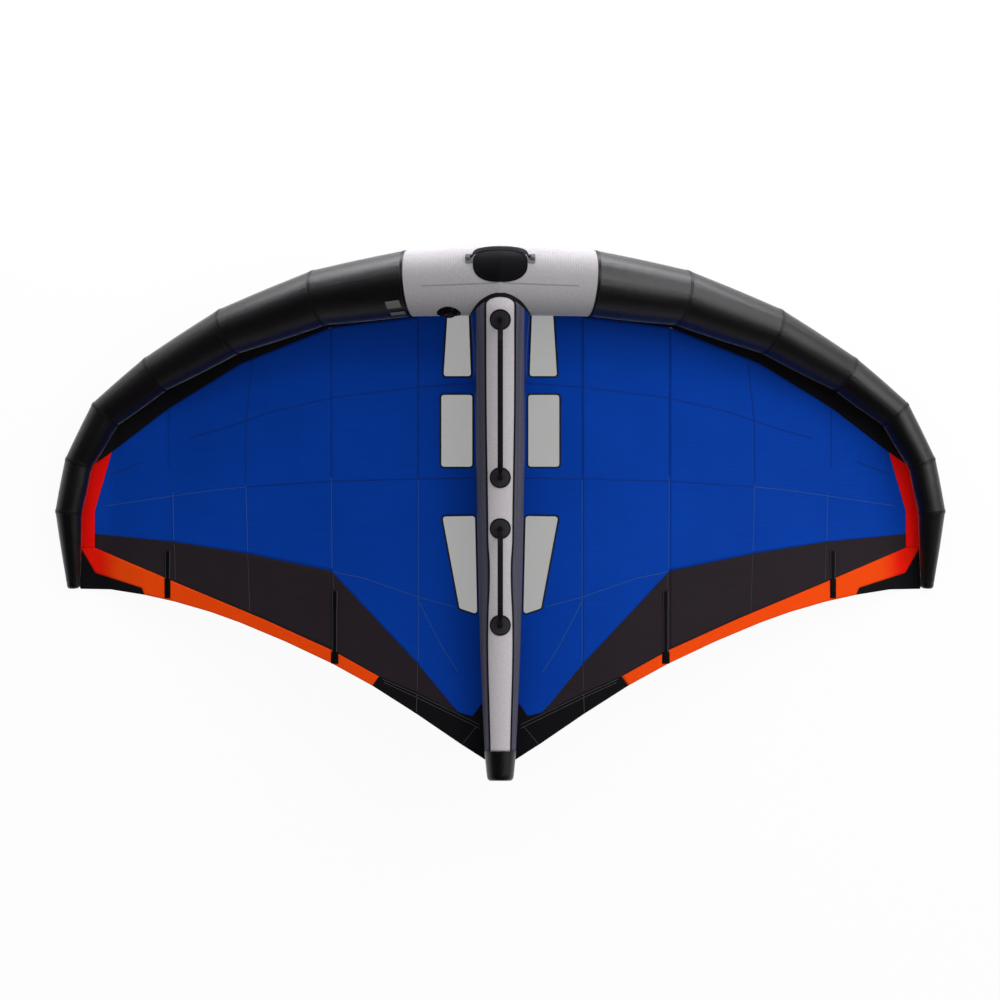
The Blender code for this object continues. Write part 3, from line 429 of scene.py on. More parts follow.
class Finish:
    """A material. What is the same all over is set on its shader's own sockets."""

    def __init__(self, name, **constants):
        self.material = bpy.data.materials.new(name)
        self.material.use_nodes = True
        self.tree = self.material.node_tree
        self.shader = self.tree.nodes["Principled BSDF"]
        for word, value in constants.items():
            self.shader.inputs[word.replace("_", " ")].default_value = value

    def node(self, kind, settings=None, sockets=None, output=0):
        made = self.tree.nodes.new(kind)
        for word, value in (settings or {}).items():
            setattr(made, word, value)
        for word, value in (sockets or {}).items():
            self.feed(made.inputs[word], value)
        return Signal(self, made.outputs[output])

    def feed(self, socket, value):
        if isinstance(value, Signal):
            self.tree.links.new(value.socket, socket)
        else:
            socket.default_value = value

    def give(self, word, value):
        self.feed(self.shader.inputs[word], value)

    def flat_cloth(self):
        """Metres across and along the flat cloth, from the piece's own UV map."""
        place = self.node("ShaderNodeUVMap", {"uv_map": "cloth"})
        parts = self.node("ShaderNodeSeparateXYZ", {}, {0: place})
        return place, parts, Signal(self, parts.socket.node.outputs[1])

    def in_space(self):
        """The piece's own coordinates, which are the wing's, in metres."""
        place = self.node("ShaderNodeTexCoord", {}, {}, output=3)
        parts = self.node("ShaderNodeSeparateXYZ", {}, {0: place})
        outputs = parts.socket.node.outputs
        return place, parts, Signal(self, outputs[1]), Signal(self, outputs[2])

    def noise(self, place, scale, detail=2.0, roughness=0.5):
        return self.node("ShaderNodeTexNoise", {}, {"Vector": place, "Scale": scale, "Detail": detail,
                                                    "Roughness": roughness})

    def stretched(self, place, across, along):
        """A place whose two directions are scaled apart, for streaks."""
        return self.node("ShaderNodeMapping", {}, {"Vector": place, "Scale": (across, along, 1.0)})

    def mix(self, low, high, part):
        """A colour between two colours."""
        low, high = (tuple(c) + (1.0,) if isinstance(c, tuple) and len(c) == 3 else c for c in (low, high))
        return self.node("ShaderNodeMix", {"data_type": "RGBA"}, {0: part, 6: low, 7: high}, output=2)

    def bump(self, height, distance, strength=1.0):
        normal = self.node("ShaderNodeBump", {}, {"Height": height, "Distance": distance,
                                                  "Strength": strength})
        self.give("Normal", normal)


def shade(colour, factor):
    return tuple(min(channel * factor, 1.0) for channel in colour)


# %% [markdown]
# ## Sailcloth
# The canopy is ripstop polyester: a fine plain weave with a thicker thread every few millimetres
# in both directions, and a thin shiny coating. From a step back the weave reads as faint lines and
# streaks along the weft. Two line patterns and a stretched noise give that, with a soft mottling
# over it from handling, and a bump lifts the thick threads. A picture of cloth would also do it,
# but it would repeat and blur, while this follows the cloth at every size.

# %% Cloth finishes
def sailcloth(name, colour, roughness, gloss, contrast=0.12, pitch=0.0055, mottle=0.10, sheen=0.0,
              turned=None):
    """Ripstop: a colour that varies with its threads, its weft streaks and a soft mottling. With
    turned = (colour, from, to) the colour runs over to a second colour along the span."""
    made = Finish(name, Roughness=roughness, Specular_IOR_Level=gloss, Sheen_Weight=sheen,
                  Sheen_Roughness=0.22)
    place, across, along = made.flat_cloth()
    thick = abs(across.cell(pitch)).between(0.12, 0.02) + abs(along.cell(pitch)).between(0.12, 0.02)
    streak = made.noise(made.stretched(place, 5.0, 170.0), 1.0, 3.0, 0.6)
    cloud = made.noise(place, 2.6, 3.0)
    crease = made.noise(made.stretched(place, 9.0, 2.2), 1.0, 4.0, 0.55)
    tone = streak * contrast + cloud * mottle + thick * (contrast / 3) + crease * (mottle / 2)
    part = tone.between(0.15 * (contrast + mottle), 1.05 * (contrast + mottle))
    cloth_colour = made.mix(shade(colour, 1 - contrast - mottle / 2), shade(colour, 1 + contrast + mottle / 2), part)
    if turned:
        second, start, end = turned
        where, x, y, z = made.in_space()
        cloth_colour = made.mix(cloth_colour, second, abs(x).between(start, end))
    made.give("Base Color", cloth_colour)
    made.give("Roughness", cloud * 0.12 + (roughness - 0.06))
    weave = across.wave(0.0016) * along.wave(0.0016)
    made.bump(thick * 0.35 + weave * 0.3 + crease * 2.2, MILLIMETRE * 0.6, 0.7)
    return made.material


blue_cloth = sailcloth("blue_sailcloth", (0.0012, 0.0365, 0.292), 0.5, 0.02)
charcoal_cloth = sailcloth("charcoal_sailcloth", (0.0185, 0.0135, 0.0172), 0.55, 0.04,
                           turned=((0.0061, 0.0053, 0.0067, 1.0), 0.152, 0.149))
orange_cloth = sailcloth("orange_sailcloth", (0.74, 0.056, 0.002), 0.5, 0.03, 0.05, mottle=0.05,
                         turned=((0.74, 0.008, 0.002, 1.0), 1.38, 1.47))
red_cloth = sailcloth("red_sailcloth", (0.72, 0.004, 0.002), 0.5, 0.03, 0.05, mottle=0.05)
black_cloth = sailcloth("black_sailcloth", (0.0061, 0.0053, 0.0067), 0.5, 0.02)
tube_cloth = sailcloth("leading_edge_cloth", (0.0036, 0.0030, 0.0036), 0.25, 0.42, contrast=0.2,
                       sheen=0.35)
print(len(bpy.data.materials), "materials so far")

# %% [markdown]
# ## The printed cloth of the middle and the strut
# The middle of the leading edge and the strip on the strut are pale grey, with a fine print of
# small paler dots in staggered rows. Two square grids of dots, one shifted by half a cell, make
# such rows.

# %% Printed cloth
def printed_cloth(name, ground, dots, pitch=0.0086):
    made = Finish(name, Roughness=0.5, Specular_IOR_Level=0.1, Sheen_Weight=0.5, Sheen_Roughness=0.34)
    place, across, along = made.flat_cloth()
    first = across.cell(pitch) * across.cell(pitch) + along.cell(2 * pitch) * along.cell(2 * pitch) * 4
    second = (across.cell(pitch, 0.5) * across.cell(pitch, 0.5)
              + along.cell(2 * pitch, 0.5) * along.cell(2 * pitch, 0.5) * 4)
    dot = first.least(second).between(0.13, 0.05)
    cloud = made.noise(place, 4.0, 3.0)
    worn = made.noise(place, 95.0, 2.0)
    part = dot * 0.22 + cloud * 0.25 + worn * 0.62
    made.give("Base Color", made.mix(ground, dots, part))
    made.give("Roughness", 0.5 - dot * 0.1 + cloud * 0.08)
    weave = across.wave(0.0016) * along.wave(0.0016)
    made.bump(weave * 0.3 + dot * 0.4 + made.noise(place, 9.0, 4.0) * 1.5, MILLIMETRE * 0.6, 0.7)
    return made.material


print_cloth = printed_cloth("pale_print_cloth", (0.255, 0.245, 0.255), (0.365, 0.352, 0.362))
strip_cloth = printed_cloth("strut_strip_cloth", (0.37, 0.35, 0.37), (0.53, 0.50, 0.525))

# %% [markdown]
# ## The cloth of the strut
# The strut's sleeve is grey above and the canopy's blue below, painted a darker navy as shade where
# the strut meets the canopy. The seam between them runs straight, 87 mm from the middle line, so it
# leaves the view where the tapering strut grows narrower than that. The turn round the tube is in the
# UV map, so one finish holds both cloths.

# %% Strut cloth
def strut_sleeve_cloth():
    made = Finish("strut_sleeve_cloth", Roughness=0.5, Specular_IOR_Level=0.08)
    place, turn, along = made.flat_cloth()
    where, x, y, z = made.in_space()
    below = abs(x).between(0.0865, 0.0875).most(abs(turn).between(1.42, 1.435))
    streak = made.noise(made.stretched(place, 6.0, 160.0), 1.0, 3.0, 0.6)
    cloud = made.noise(made.stretched(place, 1.0, 6.0), 2.0, 3.0)
    # Painted highlight: paler streaks along the strut, for the light lines that run along the inflated tube.
    lengthwise_highlight = made.noise(made.stretched(place, 13.0, 0.7), 1.0, 3.0, 0.55).between(0.3, 0.7)
    grey = made.mix((0.040, 0.039, 0.056), (0.094, 0.093, 0.128),
                    streak * 0.3 + lengthwise_highlight * 0.55 + cloud * 0.15)
    # Painted shade: the blue below is darker than the canopy's own cloth, for the shade where the strut meets
    # the canopy.
    blue = made.mix((0.0012, 0.012, 0.085), (0.002, 0.028, 0.20), streak)
    made.give("Base Color", made.mix(grey, blue, below))
    made.give("Roughness", 0.46 + cloud * 0.1)
    seam = abs(abs(x) - 0.087).between(0.003, 0.001)
    made.bump(seam * 1.5 + cloud * 1.2, MILLIMETRE, 0.6)
    return made.material


strut_cloth = strut_sleeve_cloth()

# %% [markdown]
# ## Film, rubber, webbing and plastic
# The windows are milky film that lets some light through. The patches and the grips are matt
# rubber with a fine grain, the nose strap is woven webbing with a herringbone, the tapes carry a
# row of stitches, and the valve is moulded plastic.

# %% Other finishes
def window_film_finish():
    made = Finish("window_film", Roughness=0.22, Specular_IOR_Level=0.3, Alpha=0.45)
    place, across, along = made.flat_cloth()
    cloud = made.noise(place, 5.0, 3.0)
    scrim = abs(across.cell(0.012)).between(0.06, 0.01).most(abs(along.cell(0.012)).between(0.06, 0.01))
    made.give("Base Color", made.mix((0.208, 0.205, 0.194), (0.225, 0.221, 0.21), cloud + scrim * 0.3))
    made.give("Roughness", cloud * 0.1 + 0.18)
    made.bump(cloud * 1.5 + scrim * 0.3, MILLIMETRE, 0.4)
    return made.material


def rubber(name, low, high, roughness, grain=420.0, gloss=0.12):
    made = Finish(name, Roughness=roughness, Specular_IOR_Level=gloss)
    place, x, y, z = made.in_space()
    fine = made.noise(place, grain, 2.0)
    broad = made.noise(place, 28.0, 3.0)
    made.give("Base Color", made.mix(low, high, broad * 0.7 + fine * 0.3))
    made.give("Roughness", broad * 0.2 + (roughness - 0.1))
    made.bump(fine + broad * 0.5, MILLIMETRE * 0.4, 0.8)
    return made.material


def patch_finish():
    """Rubber with a dark rim, paler ribs inside it and a plain middle. The UV holds the metres from
    the patch's middle."""
    made = Finish("ribbed_patch_rubber", Roughness=0.5, Specular_IOR_Level=0.12)
    place, across, along = made.flat_cloth()
    off = made.node("ShaderNodeVectorMath", {"operation": "LENGTH"}, {0: place}, output=1)
    field = off.between(0.0335, 0.0325) * off.between(0.0085, 0.0095)
    ribs = across.wave(0.0062) * 0.6 + made.noise(place, 160.0, 2.0) * 0.5
    inside_colour = made.mix((0.008, 0.0075, 0.0098), (0.034, 0.032, 0.041), ribs)
    made.give("Base Color", made.mix((0.0042, 0.0038, 0.0050, 1.0), inside_colour, field))
    made.give("Roughness", ribs * 0.15 + 0.42)
    made.bump(made.noise(place, 420.0, 2.0), MILLIMETRE * 0.3, 0.7)
    return made.material


def webbing(name, low, high, pitch=0.0022):
    made = Finish(name, Roughness=0.7, Specular_IOR_Level=0.2)
    place, across, along = made.flat_cloth()
    slant = (along + abs(across.cell(pitch * 4)) * (pitch * 4)).wave(pitch)
    rib = across.wave(pitch)
    cloud = made.noise(place, 60.0, 2.0)
    made.give("Base Color", made.mix(low, high, slant * 0.5 + rib * 0.2 + cloud * 0.3))
    made.give("Roughness", 0.62 + cloud * 0.16)
    made.bump(slant * rib, MILLIMETRE * 0.5, 0.8)
    return made.material


def stitched(name, ground, thread, half_width, offsets, stitch=0.006, roughness=0.6, gloss=0.06):
    """A tape with rows of stitches. Across runs from its one edge to the other, in metres."""
    made = Finish(name, Roughness=roughness, Specular_IOR_Level=gloss)
    place, across, along = made.flat_cloth()
    dash = abs(along.cell(stitch)).between(0.42, 0.34)
    rows = None
    for offset in offsets:
        row = abs(across - (half_width + offset)).between(0.0011, 0.0006)
        rows = row if rows is None else rows.most(row)
    sewn = rows * dash
    cloud = made.noise(place, 30.0, 3.0)
    cloth = made.mix(shade(ground, 0.8), shade(ground, 1.2), cloud)
    made.give("Base Color", made.mix(cloth, thread, sewn))
    made.give("Roughness", roughness - 0.1 + cloud * 0.15)
    made.bump(sewn * 1.2 - rows * 0.6 + cloud * 0.4, MILLIMETRE * 0.5, 0.8)
    return made.material


def moulded_plastic(name, colour, roughness, gloss=0.5):
    made = Finish(name, Roughness=roughness, Specular_IOR_Level=gloss)
    place, x, y, z = made.in_space()
    grain = made.noise(place, 900.0, 2.0)
    wear = made.noise(place, 40.0, 4.0)
    made.give("Base Color", made.mix(shade(colour, 0.85), shade(colour, 1.3), wear))
    made.give("Roughness", wear * 0.25 + (roughness - 0.12))
    made.bump(grain, MILLIMETRE * 0.1, 0.5)
    return made.material


window_film = window_film_finish()
patch_rubber = patch_finish()
pad_rubber = rubber("nose_pad_rubber", (0.0016, 0.0014, 0.0020), (0.0040, 0.0037, 0.0050), 0.55, gloss=0.05)
strap_webbing = webbing("strap_webbing", (0.006, 0.0055, 0.008), (0.021, 0.0195, 0.026))
tab_cloth = webbing("tab_webbing", (0.10, 0.10, 0.11), (0.17, 0.17, 0.185))
valve_plastic = moulded_plastic("valve_plastic", (0.0022, 0.0022, 0.0026), 0.4, 0.08)
batten_plastic = moulded_plastic("batten_plastic", (0.3, 0.32, 0.3), 0.45)
bladder_film = moulded_plastic("bladder_film", (0.42, 0.44, 0.46), 0.35)
print(len(bpy.data.materials), "materials in all")

# %% [markdown]
# ## The sleeve of the leading edge
# The sleeve is sewn from straight tapered panels. Air swells each a little between its seams, and
# the cloth puckers beside a seam because the stitches gather it. A panel is made of straight
# lines, one for each turn round the axis, which end where they meet the mitre plane of each kink.

# %% Rings where panels meet
TURNS = 97
turns = np.linspace(0, 2 * np.pi, TURNS)


def around(run):
    """Directions out of a run of the tube, by the turn from its top towards the front."""
    ahead = unit(np.cross(UP, run))
    high = np.cross(run, ahead)
    return np.cos(turns)[:, None] * high + np.sin(turns)[:, None] * ahead


def ring(index, kink):
    """Where the lines of a run meet the mitre plane of a kink: the line's point in the share t of
    the run is start + t (end - start) + way (r0 + t (r1 - r0)), and its product with the plane's
    normal gives t."""
    start, end = axis[index], axis[index + 1]
    way = around(runs[index])
    taper = way * (radii[index + 1] - radii[index])
    foot = start + way * radii[index]
    normal = mitres[kink]
    part = ((axis[kink] - foot) @ normal) / ((end - start + taper) @ normal)
    return foot + part[:, None] * (end - start + taper)


def kink_ring(kink):
    """The ring that two panels share: the mean of where each would end."""
    if kink == 0:
        return ring(0, 0)
    if kink == len(runs):
        return ring(kink - 1, kink)
    return (ring(kink - 1, kink) + ring(kink, kink)) / 2


def close_rows(count):
    """Shares along a panel, closer together near its seams."""
    even = np.linspace(0, 1, count)
    return even - np.sin(2 * np.pi * even) / (2 * np.pi) * 0.75


# %% [markdown]
# ## Swelling, puckers and the raised seam
# Three small displacements along the way out make the panel look like cloth: a half sine between
# the seams, ripples round the tube that die out within a hand's width of each seam, and a bead
# over the seam itself.

# %% Panels of the sleeve
def panel_grid(index, rows=41, swell=0.0022, pucker=0.0011):
    """The grid of one panel: straight lines between its two rings, with its displacements."""
    first, last = kink_ring(index), kink_ring(index + 1)
    part = close_rows(rows)[:, None]
    way = around(runs[index])
    length = np.linalg.norm(axis[index + 1] - axis[index])
    edge = np.minimum(part, 1 - part) * length
    ripple = np.sin(31 * turns + 2.1 * index) * 0.6 + np.sin(47 * turns + index) * 0.4
    out = swell * np.sin(np.pi * part) + pucker * np.exp(-edge / 0.03) * ripple[None, :]
    out = out * (1 - np.exp(-(edge / 0.004) ** 2)) + 0.0006 * np.exp(-(edge / 0.006) ** 2)
    points = first[None] + part[:, :, None] * (last - first)[None] + out[:, :, None] * way[None]
    u = np.broadcast_to(turns * radii[index:index + 2].mean(), part.shape[:1] + turns.shape)
    v = np.broadcast_to(part * length, u.shape)
    return points, np.stack((u, v), axis=-1)


for word, side in SIDES:
    for index in range(1, TIP_KINK):
        points, uv = panel_grid(index)
        node = f"leading_edge_sleeve_{word}_{index}"
        piece(f"sewn_{node}", [(on_side(points, side), uv)], tube_cloth, node,
              wall=0.0012)
print("sleeve panels:", 2 * (TIP_KINK - 1))

# %% [markdown]
# ## The tips
# Past the last sleeve panel the tube bends round to the rear in three short runs and ends in a
# blunt dome. It is one grid: the rows of each run, then rings that move on by a share of the
# radius and shrink as a superellipse of the fourth power, so the end is flat with a rounded edge.

# %% Tips
def tip_grid():
    parts, uvs, run_up = [], [], 0.0
    for index in range(TIP_KINK, len(runs)):
        points, uv = panel_grid(index, rows=25, swell=0.0015, pucker=0.0009)
        keep = slice(0, -1)
        parts.append(points[keep])
        uvs.append(uv[keep] + np.array((0.0, run_up)))
        run_up += np.linalg.norm(axis[index + 1] - axis[index])
    last = kink_ring(len(runs))
    dome = np.sin(np.linspace(0, np.pi / 2, 15))[:, None, None]
    shrink = (1 - dome ** 4) ** (1 / 4)
    rim = axis[-1] + (last - axis[-1]) * shrink + runs[-1] * radii[-1] * dome
    parts.append(rim)
    flat = np.stack(np.broadcast_arrays(turns * radii[-1], run_up + dome[:, :, 0] * radii[-1]), axis=-1)
    uvs.append(flat)
    return np.concatenate(parts), np.concatenate(uvs)


for word, side in SIDES:
    points, uv = tip_grid()
    node = f"leading_edge_tip_{word}"
    piece(f"sewn_{node}", [(on_side(points, side), uv)], tube_cloth, node)

# %% [markdown]
# ## The printed middle of the leading edge
# The pale middle is one panel to each side of the nose. The valve looks out through a round hole
# in it: cells whose middle falls inside the hole are left out, and the ring of corners round it is
# then drawn onto the circle, so the rim is clean without a boolean.

# %% Centre sleeve with its valve hole
VALVE_PLACE = 0.187
VALVE_ANGLE = np.radians(22)
VALVE_HOLE_RADIUS = 0.038
valve_part = VALVE_PLACE / axis[1, 0]
valve_up = np.array((0.0, -np.cos(VALVE_ANGLE), np.sin(VALVE_ANGLE)))
valve_axis_point = axis[0] + (axis[1] - axis[0]) * valve_part
valve_origin = np.array((-VALVE_PLACE, *valve_axis_point[1:])) \
    + valve_up * (radii[0] + (radii[1] - radii[0]) * valve_part)
valve_side = ACROSS
valve_ahead = np.cross(valve_up, valve_side)


def draw_to_rim(made, origin, up, radius, reach):
    """Moves the border corners of a hole onto its circle: each keeps its height over the hole's
    plane, and its distance from the axis becomes the radius."""
    bm = bmesh.new()
    bm.from_mesh(made.data)
    rim = [vert.index for edge in bm.edges if edge.is_boundary for vert in edge.verts]
    bm.free()
    count = len(made.data.vertices)
    flat = np.empty(3 * count)
    made.data.vertices.foreach_get("co", flat)
    points = flat.reshape(-1, 3)
    way = points - origin
    high = way @ up
    level = way - high[:, None] * up
    off = np.linalg.norm(level, axis=1)
    border = np.zeros(count, bool)
    border[rim] = True
    border &= (off < reach) & (np.abs(high) < reach)
    moved = origin + high[:, None] * up + level * (radius / np.maximum(off, radius / 10))[:, None]
    points[border] = moved[border]
    made.data.vertices.foreach_set("co", points.ravel())
    made.data.update()
    return int(border.sum())


def centre_grid(columns=181):
    """From the left first kink to the right one: each half is a panel of straight lines."""
    first, last = kink_ring(0), kink_ring(1)
    part = np.linspace(-1, 1, columns)[:, None, None]
    half = first + np.abs(part) * (last - first)
    half = half * np.where(part < 0, np.array((-1.0, 1.0, 1.0)), np.array((1.0, 1.0, 1.0)))
    edge = (1 - np.abs(part)) * np.linalg.norm(axis[1] - axis[0])
    ripple = np.sin(31 * turns) * 0.6 + np.sin(47 * turns) * 0.4
    out = 0.0009 * np.exp(-edge[..., 0] / 0.03) * ripple[None, :] * (1 - np.exp(-(edge[..., 0] / 0.004) ** 2))
    points = half + out[:, :, None] * around(runs[0])[None] * np.where(part < 0, [[[-1, 1, 1]]], [[[1, 1, 1]]])
    u = np.broadcast_to(turns * radii[0], points.shape[:2])
    v = np.broadcast_to(part[:, :, 0] * axis[1, 0], points.shape[:2])
    return points, np.stack((u, v), axis=-1)


def in_valve_hole(middles):
    way = middles - valve_origin
    high = way @ valve_up
    off = np.linalg.norm(way - high[:, None] * valve_up, axis=1)
    return (off < VALVE_HOLE_RADIUS) & (np.abs(high) < VALVE_HOLE_RADIUS)


centre_sleeve = piece("sewn_leading_edge_centre_sleeve", [centre_grid()], print_cloth,
                      "leading_edge_centre_sleeve", drop=in_valve_hole)
print("corners on the valve hole's rim:", draw_to_rim(
    centre_sleeve, valve_origin, valve_up, VALVE_HOLE_RADIUS, VALVE_HOLE_RADIUS + 0.006))
wall = centre_sleeve.modifiers.new("wall", "SOLIDIFY")
wall.thickness = 0.0012
wall.offset = -1

# %% [markdown]
# ## Seam tapes round the tube
# Over each kink runs a tape, sewn with two rows of thread. It is a closed loft: at each turn a
# flat section a few millimetres wide, laid across the seam.

# %% Tube tapes
def closed_loft(middles, sideways, outward, half_width, rise, sunk=0.0006, bulge=0.0):
    """A flat band along a path: the section runs over the top from one edge to the other and back
    below. The UV counts metres across from one edge, and metres along."""
    share = np.array((-1.0, -0.94, -0.6, 0.0, 0.6, 0.94, 1.0, 0.0, -1.0))
    lift = np.array((-sunk, rise * 0.8, rise, rise + bulge, rise, rise * 0.8, -sunk, -sunk, -sunk))
    wide = np.broadcast_to(np.asarray(half_width, float), middles.shape[:1])
    points = (middles[:, None] + sideways[:, None] * (share[None, :] * wide[:, None])[..., None]
              + outward[:, None] * lift[None, :, None])
    u = (share[None, :] + 1) * wide[:, None]
    steps = np.linalg.norm(np.diff(middles, axis=0), axis=1)
    v = np.concatenate(((0.0,), np.cumsum(steps)))
    return points, np.stack(np.broadcast_arrays(u, v[:, None]), axis=-1)


seam_tape = stitched("tube_seam_tape", (0.0018, 0.0015, 0.0018), (0.010, 0.0095, 0.011), 0.0062,
                     (-0.0036, 0.0036), roughness=0.36, gloss=0.26)
for word, side in SIDES:
    for kink in range(1, len(runs)):
        middle = kink_ring(kink)
        out = unit(around(runs[kink - 1]) + around(runs[kink]))
        along = np.broadcast_to(mitres[kink], out.shape)
        points, uv = closed_loft(middle + out * 0.0004, along, out, 0.0062, 0.0007)
        piece(f"tube_seam_tape_{word}_{kink}", [(on_side(points, side), uv)], seam_tape)

# %% [markdown]
# ## Small things sewn on the tube
# A black ring binds the hole for the valve, a flat seam runs along the top of the printed middle,
# and two bare pale patches are sewn on the left panel beside it. The ring finds the sleeve by
# stepping along the valve's axis: each step takes off the distance that is left.

# %% Ring, seam and patches on the tube
VALVE_RING = 0.0395
VALVE_RING_HALF = 0.0045
angle = np.linspace(0, 2 * np.pi, 97)[:, None]
away = np.cos(angle) * valve_side + np.sin(angle) * valve_ahead
middles = valve_origin + VALVE_RING * away
for _ in range(12):
    middles = middles - nose_clearance(middles)[:, None] * valve_up
ring_up = unit(np.cross(np.gradient(middles, axis=0), away))
ring_up = ring_up * np.sign(ring_up @ valve_up)[:, None]
band, uv = closed_loft(middles, away, ring_up, VALVE_RING_HALF, 0.0009)
hole_tape = stitched("valve_hole_binding", (0.002, 0.002, 0.0022), (0.012, 0.012, 0.013), VALVE_RING_HALF,
                     (0.002,), gloss=0.04)
piece("valve_hole_binding", [(band, uv)], hole_tape)


def on_sleeve(index, part, turn, lift):
    """A place on a tube panel, by its share of the run and the turn from the top to the front."""
    part, turn = np.broadcast_arrays(np.asarray(part, float), np.asarray(turn, float))
    ahead = unit(np.cross(UP, runs[index]))
    high = np.cross(runs[index], ahead)
    way = np.cos(turn)[..., None] * high + np.sin(turn)[..., None] * ahead
    out = radii[index] + part * (radii[index + 1] - radii[index]) + lift
    return axis[index] + part[..., None] * (axis[index + 1] - axis[index]) + out[..., None] * way


top_seam = stitched("print_top_seam", (0.28, 0.265, 0.28), (0.18, 0.172, 0.18), 0.0026, (-0.0012, 0.0012),
                    stitch=0.007)
part = np.linspace(0.0, 0.82, 41)
half_line = on_sleeve(0, part, -0.095, 0.0002)
half_out = unit(half_line - on_sleeve(0, part, -0.095, -0.05))
line = np.concatenate((mirrored(half_line)[:0:-1], half_line))
out = np.concatenate((mirrored(half_out)[:0:-1], half_out))
aside = unit(np.cross(np.gradient(line, axis=0), out))
band, uv = closed_loft(line, aside, out, 0.0026, 0.0005)
piece("print_top_seam", [(band, uv)], top_seam)

pale_patch = stitched("pale_patch", (0.13, 0.13, 0.125), (0.07, 0.07, 0.07), 0.03, (-0.0275, 0.0275))
for number, (near, far, high, low) in enumerate(((0.03, 0.19, -27, -43), (0.02, 0.185, -53, -63)), 1):
    part = np.linspace(near, far, 25)[None, :]
    turn = np.radians(np.linspace(high, low, 15))[:, None]
    points = mirrored(on_sleeve(1, part, turn, 0.0031))
    made = piece(f"sewn_pale_patch_{number}", [points], pale_patch, wall=0.0006)
    declare_sheet(points)
print("on the tube: a ring, a seam and 2 patches")

# %% [markdown]
# ## Cloth between two edges
# A canopy panel is cut between two edges: one nearer the tube and one nearer the tail. With both
# edges walked at the same pace, every other line of the panel is a blend of the two, and its
# height comes from the canopy. That is a ruled patch, the plainest function of two parameters
# that has any outline of four sides. Its flat size is measured from the grid and printed.

# %% Ruled panels
def walked(edge, count):
    """Points at an even pace along an edge, with its corners kept: the nearest steps move to them."""
    edge = np.asarray(edge, float)
    steps = np.linalg.norm(np.diff(edge, axis=0), axis=1)
    run = np.concatenate(((0.0,), np.cumsum(steps)))
    pace = np.linspace(0, run[-1], count)
    nearest = np.clip(np.round(run / run[-1] * (count - 1)).astype(int), 0, count - 1)
    pace[nearest] = run
    pace[0], pace[-1] = 0.0, run[-1]
    pace = np.sort(pace)
    return np.stack((np.interp(pace, run, edge[:, 0]), np.interp(pace, run, edge[:, 1])), axis=-1)


def ruled(front, rear, columns, rows):
    """Place at (s, t): (1 - t) front(s) + t rear(s)."""
    first, last = walked(front, columns), walked(rear, columns)
    part = np.linspace(0, 1, rows)[:, None, None]
    return first[None] * (1 - part) + last[None] * part


def panel(node, front, rear, finish, side=1, columns=61, rows=31, lift=0.0):
    flat = ruled(front, rear, columns, rows)
    points = on_side(on_canopy(flat, lift), side)
    made = piece(f"sewn_{node}", [(points, points[..., :2])], finish, node, upward=True,
                 wall=CLOTH)
    width, length = declare_sheet(points)
    print(f"{node}: cut {width:.2f} x {length:.2f} m, {grid_area(points):.3f} square metres")
    return made


# %% [markdown]
# ## The panels of the canopy
# The shares below are the seams' ends. A black strip joins the blue cloth to the tube, charcoal
# panels lie behind the blue, and an orange band with a black corner ends the wing. The red band
# stands along the tip.

# %% Seams in shares
CENTRE_SEAM = 0.184
OUTER_SEAM = 0.380
strip_rear = plans(((0.184, 0.134), (0.382, 0.155), (0.583, 0.222), (0.745, 0.305), (0.873, 0.387),
                    (0.915, 0.412)))
blue_rear = plans(((0.911, 0.540), (0.731, 0.555), (0.572, 0.576), (0.380, 0.609), (0.184, 0.783),
                   (0.095, 0.873), (0.061, 0.880), (0.041, 0.856), (0.0, 0.856)))
orange_top = plans(((0.942, 0.566), (0.911, 0.566), (0.756, 0.621), (0.731, 0.630), (0.532, 0.699),
                    (0.380, 0.756), (0.272, 0.806)))
chevron_top = plans(((0.272, 0.806), (0.187, 0.836), (0.117, 0.865), (0.039, 0.897), (0.0, 0.912)))
corner = plans(((0.942, 0.566), (0.910, 0.613), (0.805, 0.641), (0.799, 0.654)))
red_inner = plans(((0.873, 0.387), (0.911, 0.497), (0.911, 0.540), (0.911, 0.566)))
seam_x = CENTRE_SEAM * HALF_SPAN
outer_x = OUTER_SEAM * HALF_SPAN


def front_edge(low, high):
    """The canopy's front edge on the tube between two places along the span, with its kinks."""
    kinks = attach[:TIP_KINK + 2, :2]
    inside = kinks[(kinks[:, 0] > low + MILLIMETRE) & (kinks[:, 0] < high - MILLIMETRE)]
    ends = np.array((low, high))
    ends = np.column_stack((ends, straight(attach_back, ends)))
    return np.vstack((ends[:1], inside, ends[1:]))


def part_of(edge, low, high):
    """The part of an edge between two places along the span, cut on its straight lines."""
    rising = edge[np.argsort(edge[:, 0], kind="stable")]
    inside = rising[(rising[:, 0] > low + MILLIMETRE) & (rising[:, 0] < high - MILLIMETRE)]
    ends = np.array((low, high))
    ends = np.column_stack((ends, straight(rising, ends)))
    return np.vstack((ends[:1], inside, ends[1:]))


# %% Panels between the seams
tip_seam = attach[TIP_KINK + 1:, :2]
red_bottom = corner[0, 1]
falling = tip_seam[::-1]
crossing = np.array((np.interp(red_bottom, falling[:, 1], falling[:, 0]), red_bottom))
tip_outer = np.vstack((strip_rear[-1:], tip_seam[tip_seam[:, 1] > red_bottom], crossing[None]))
tip_end = tip_seam[-1]
blue_outer_front = np.vstack((part_of(strip_rear, outer_x, strip_rear[4, 0]), red_inner[1:2]))
band_top = orange_top[::-1]
band_rear = np.vstack((part_of(tail, tail[8, 0], tail[2, 0]), corner[2:0:-1], corner[:1]))
tip_rear = np.vstack((corner[3:0:-1], corner[:1], crossing[None]))

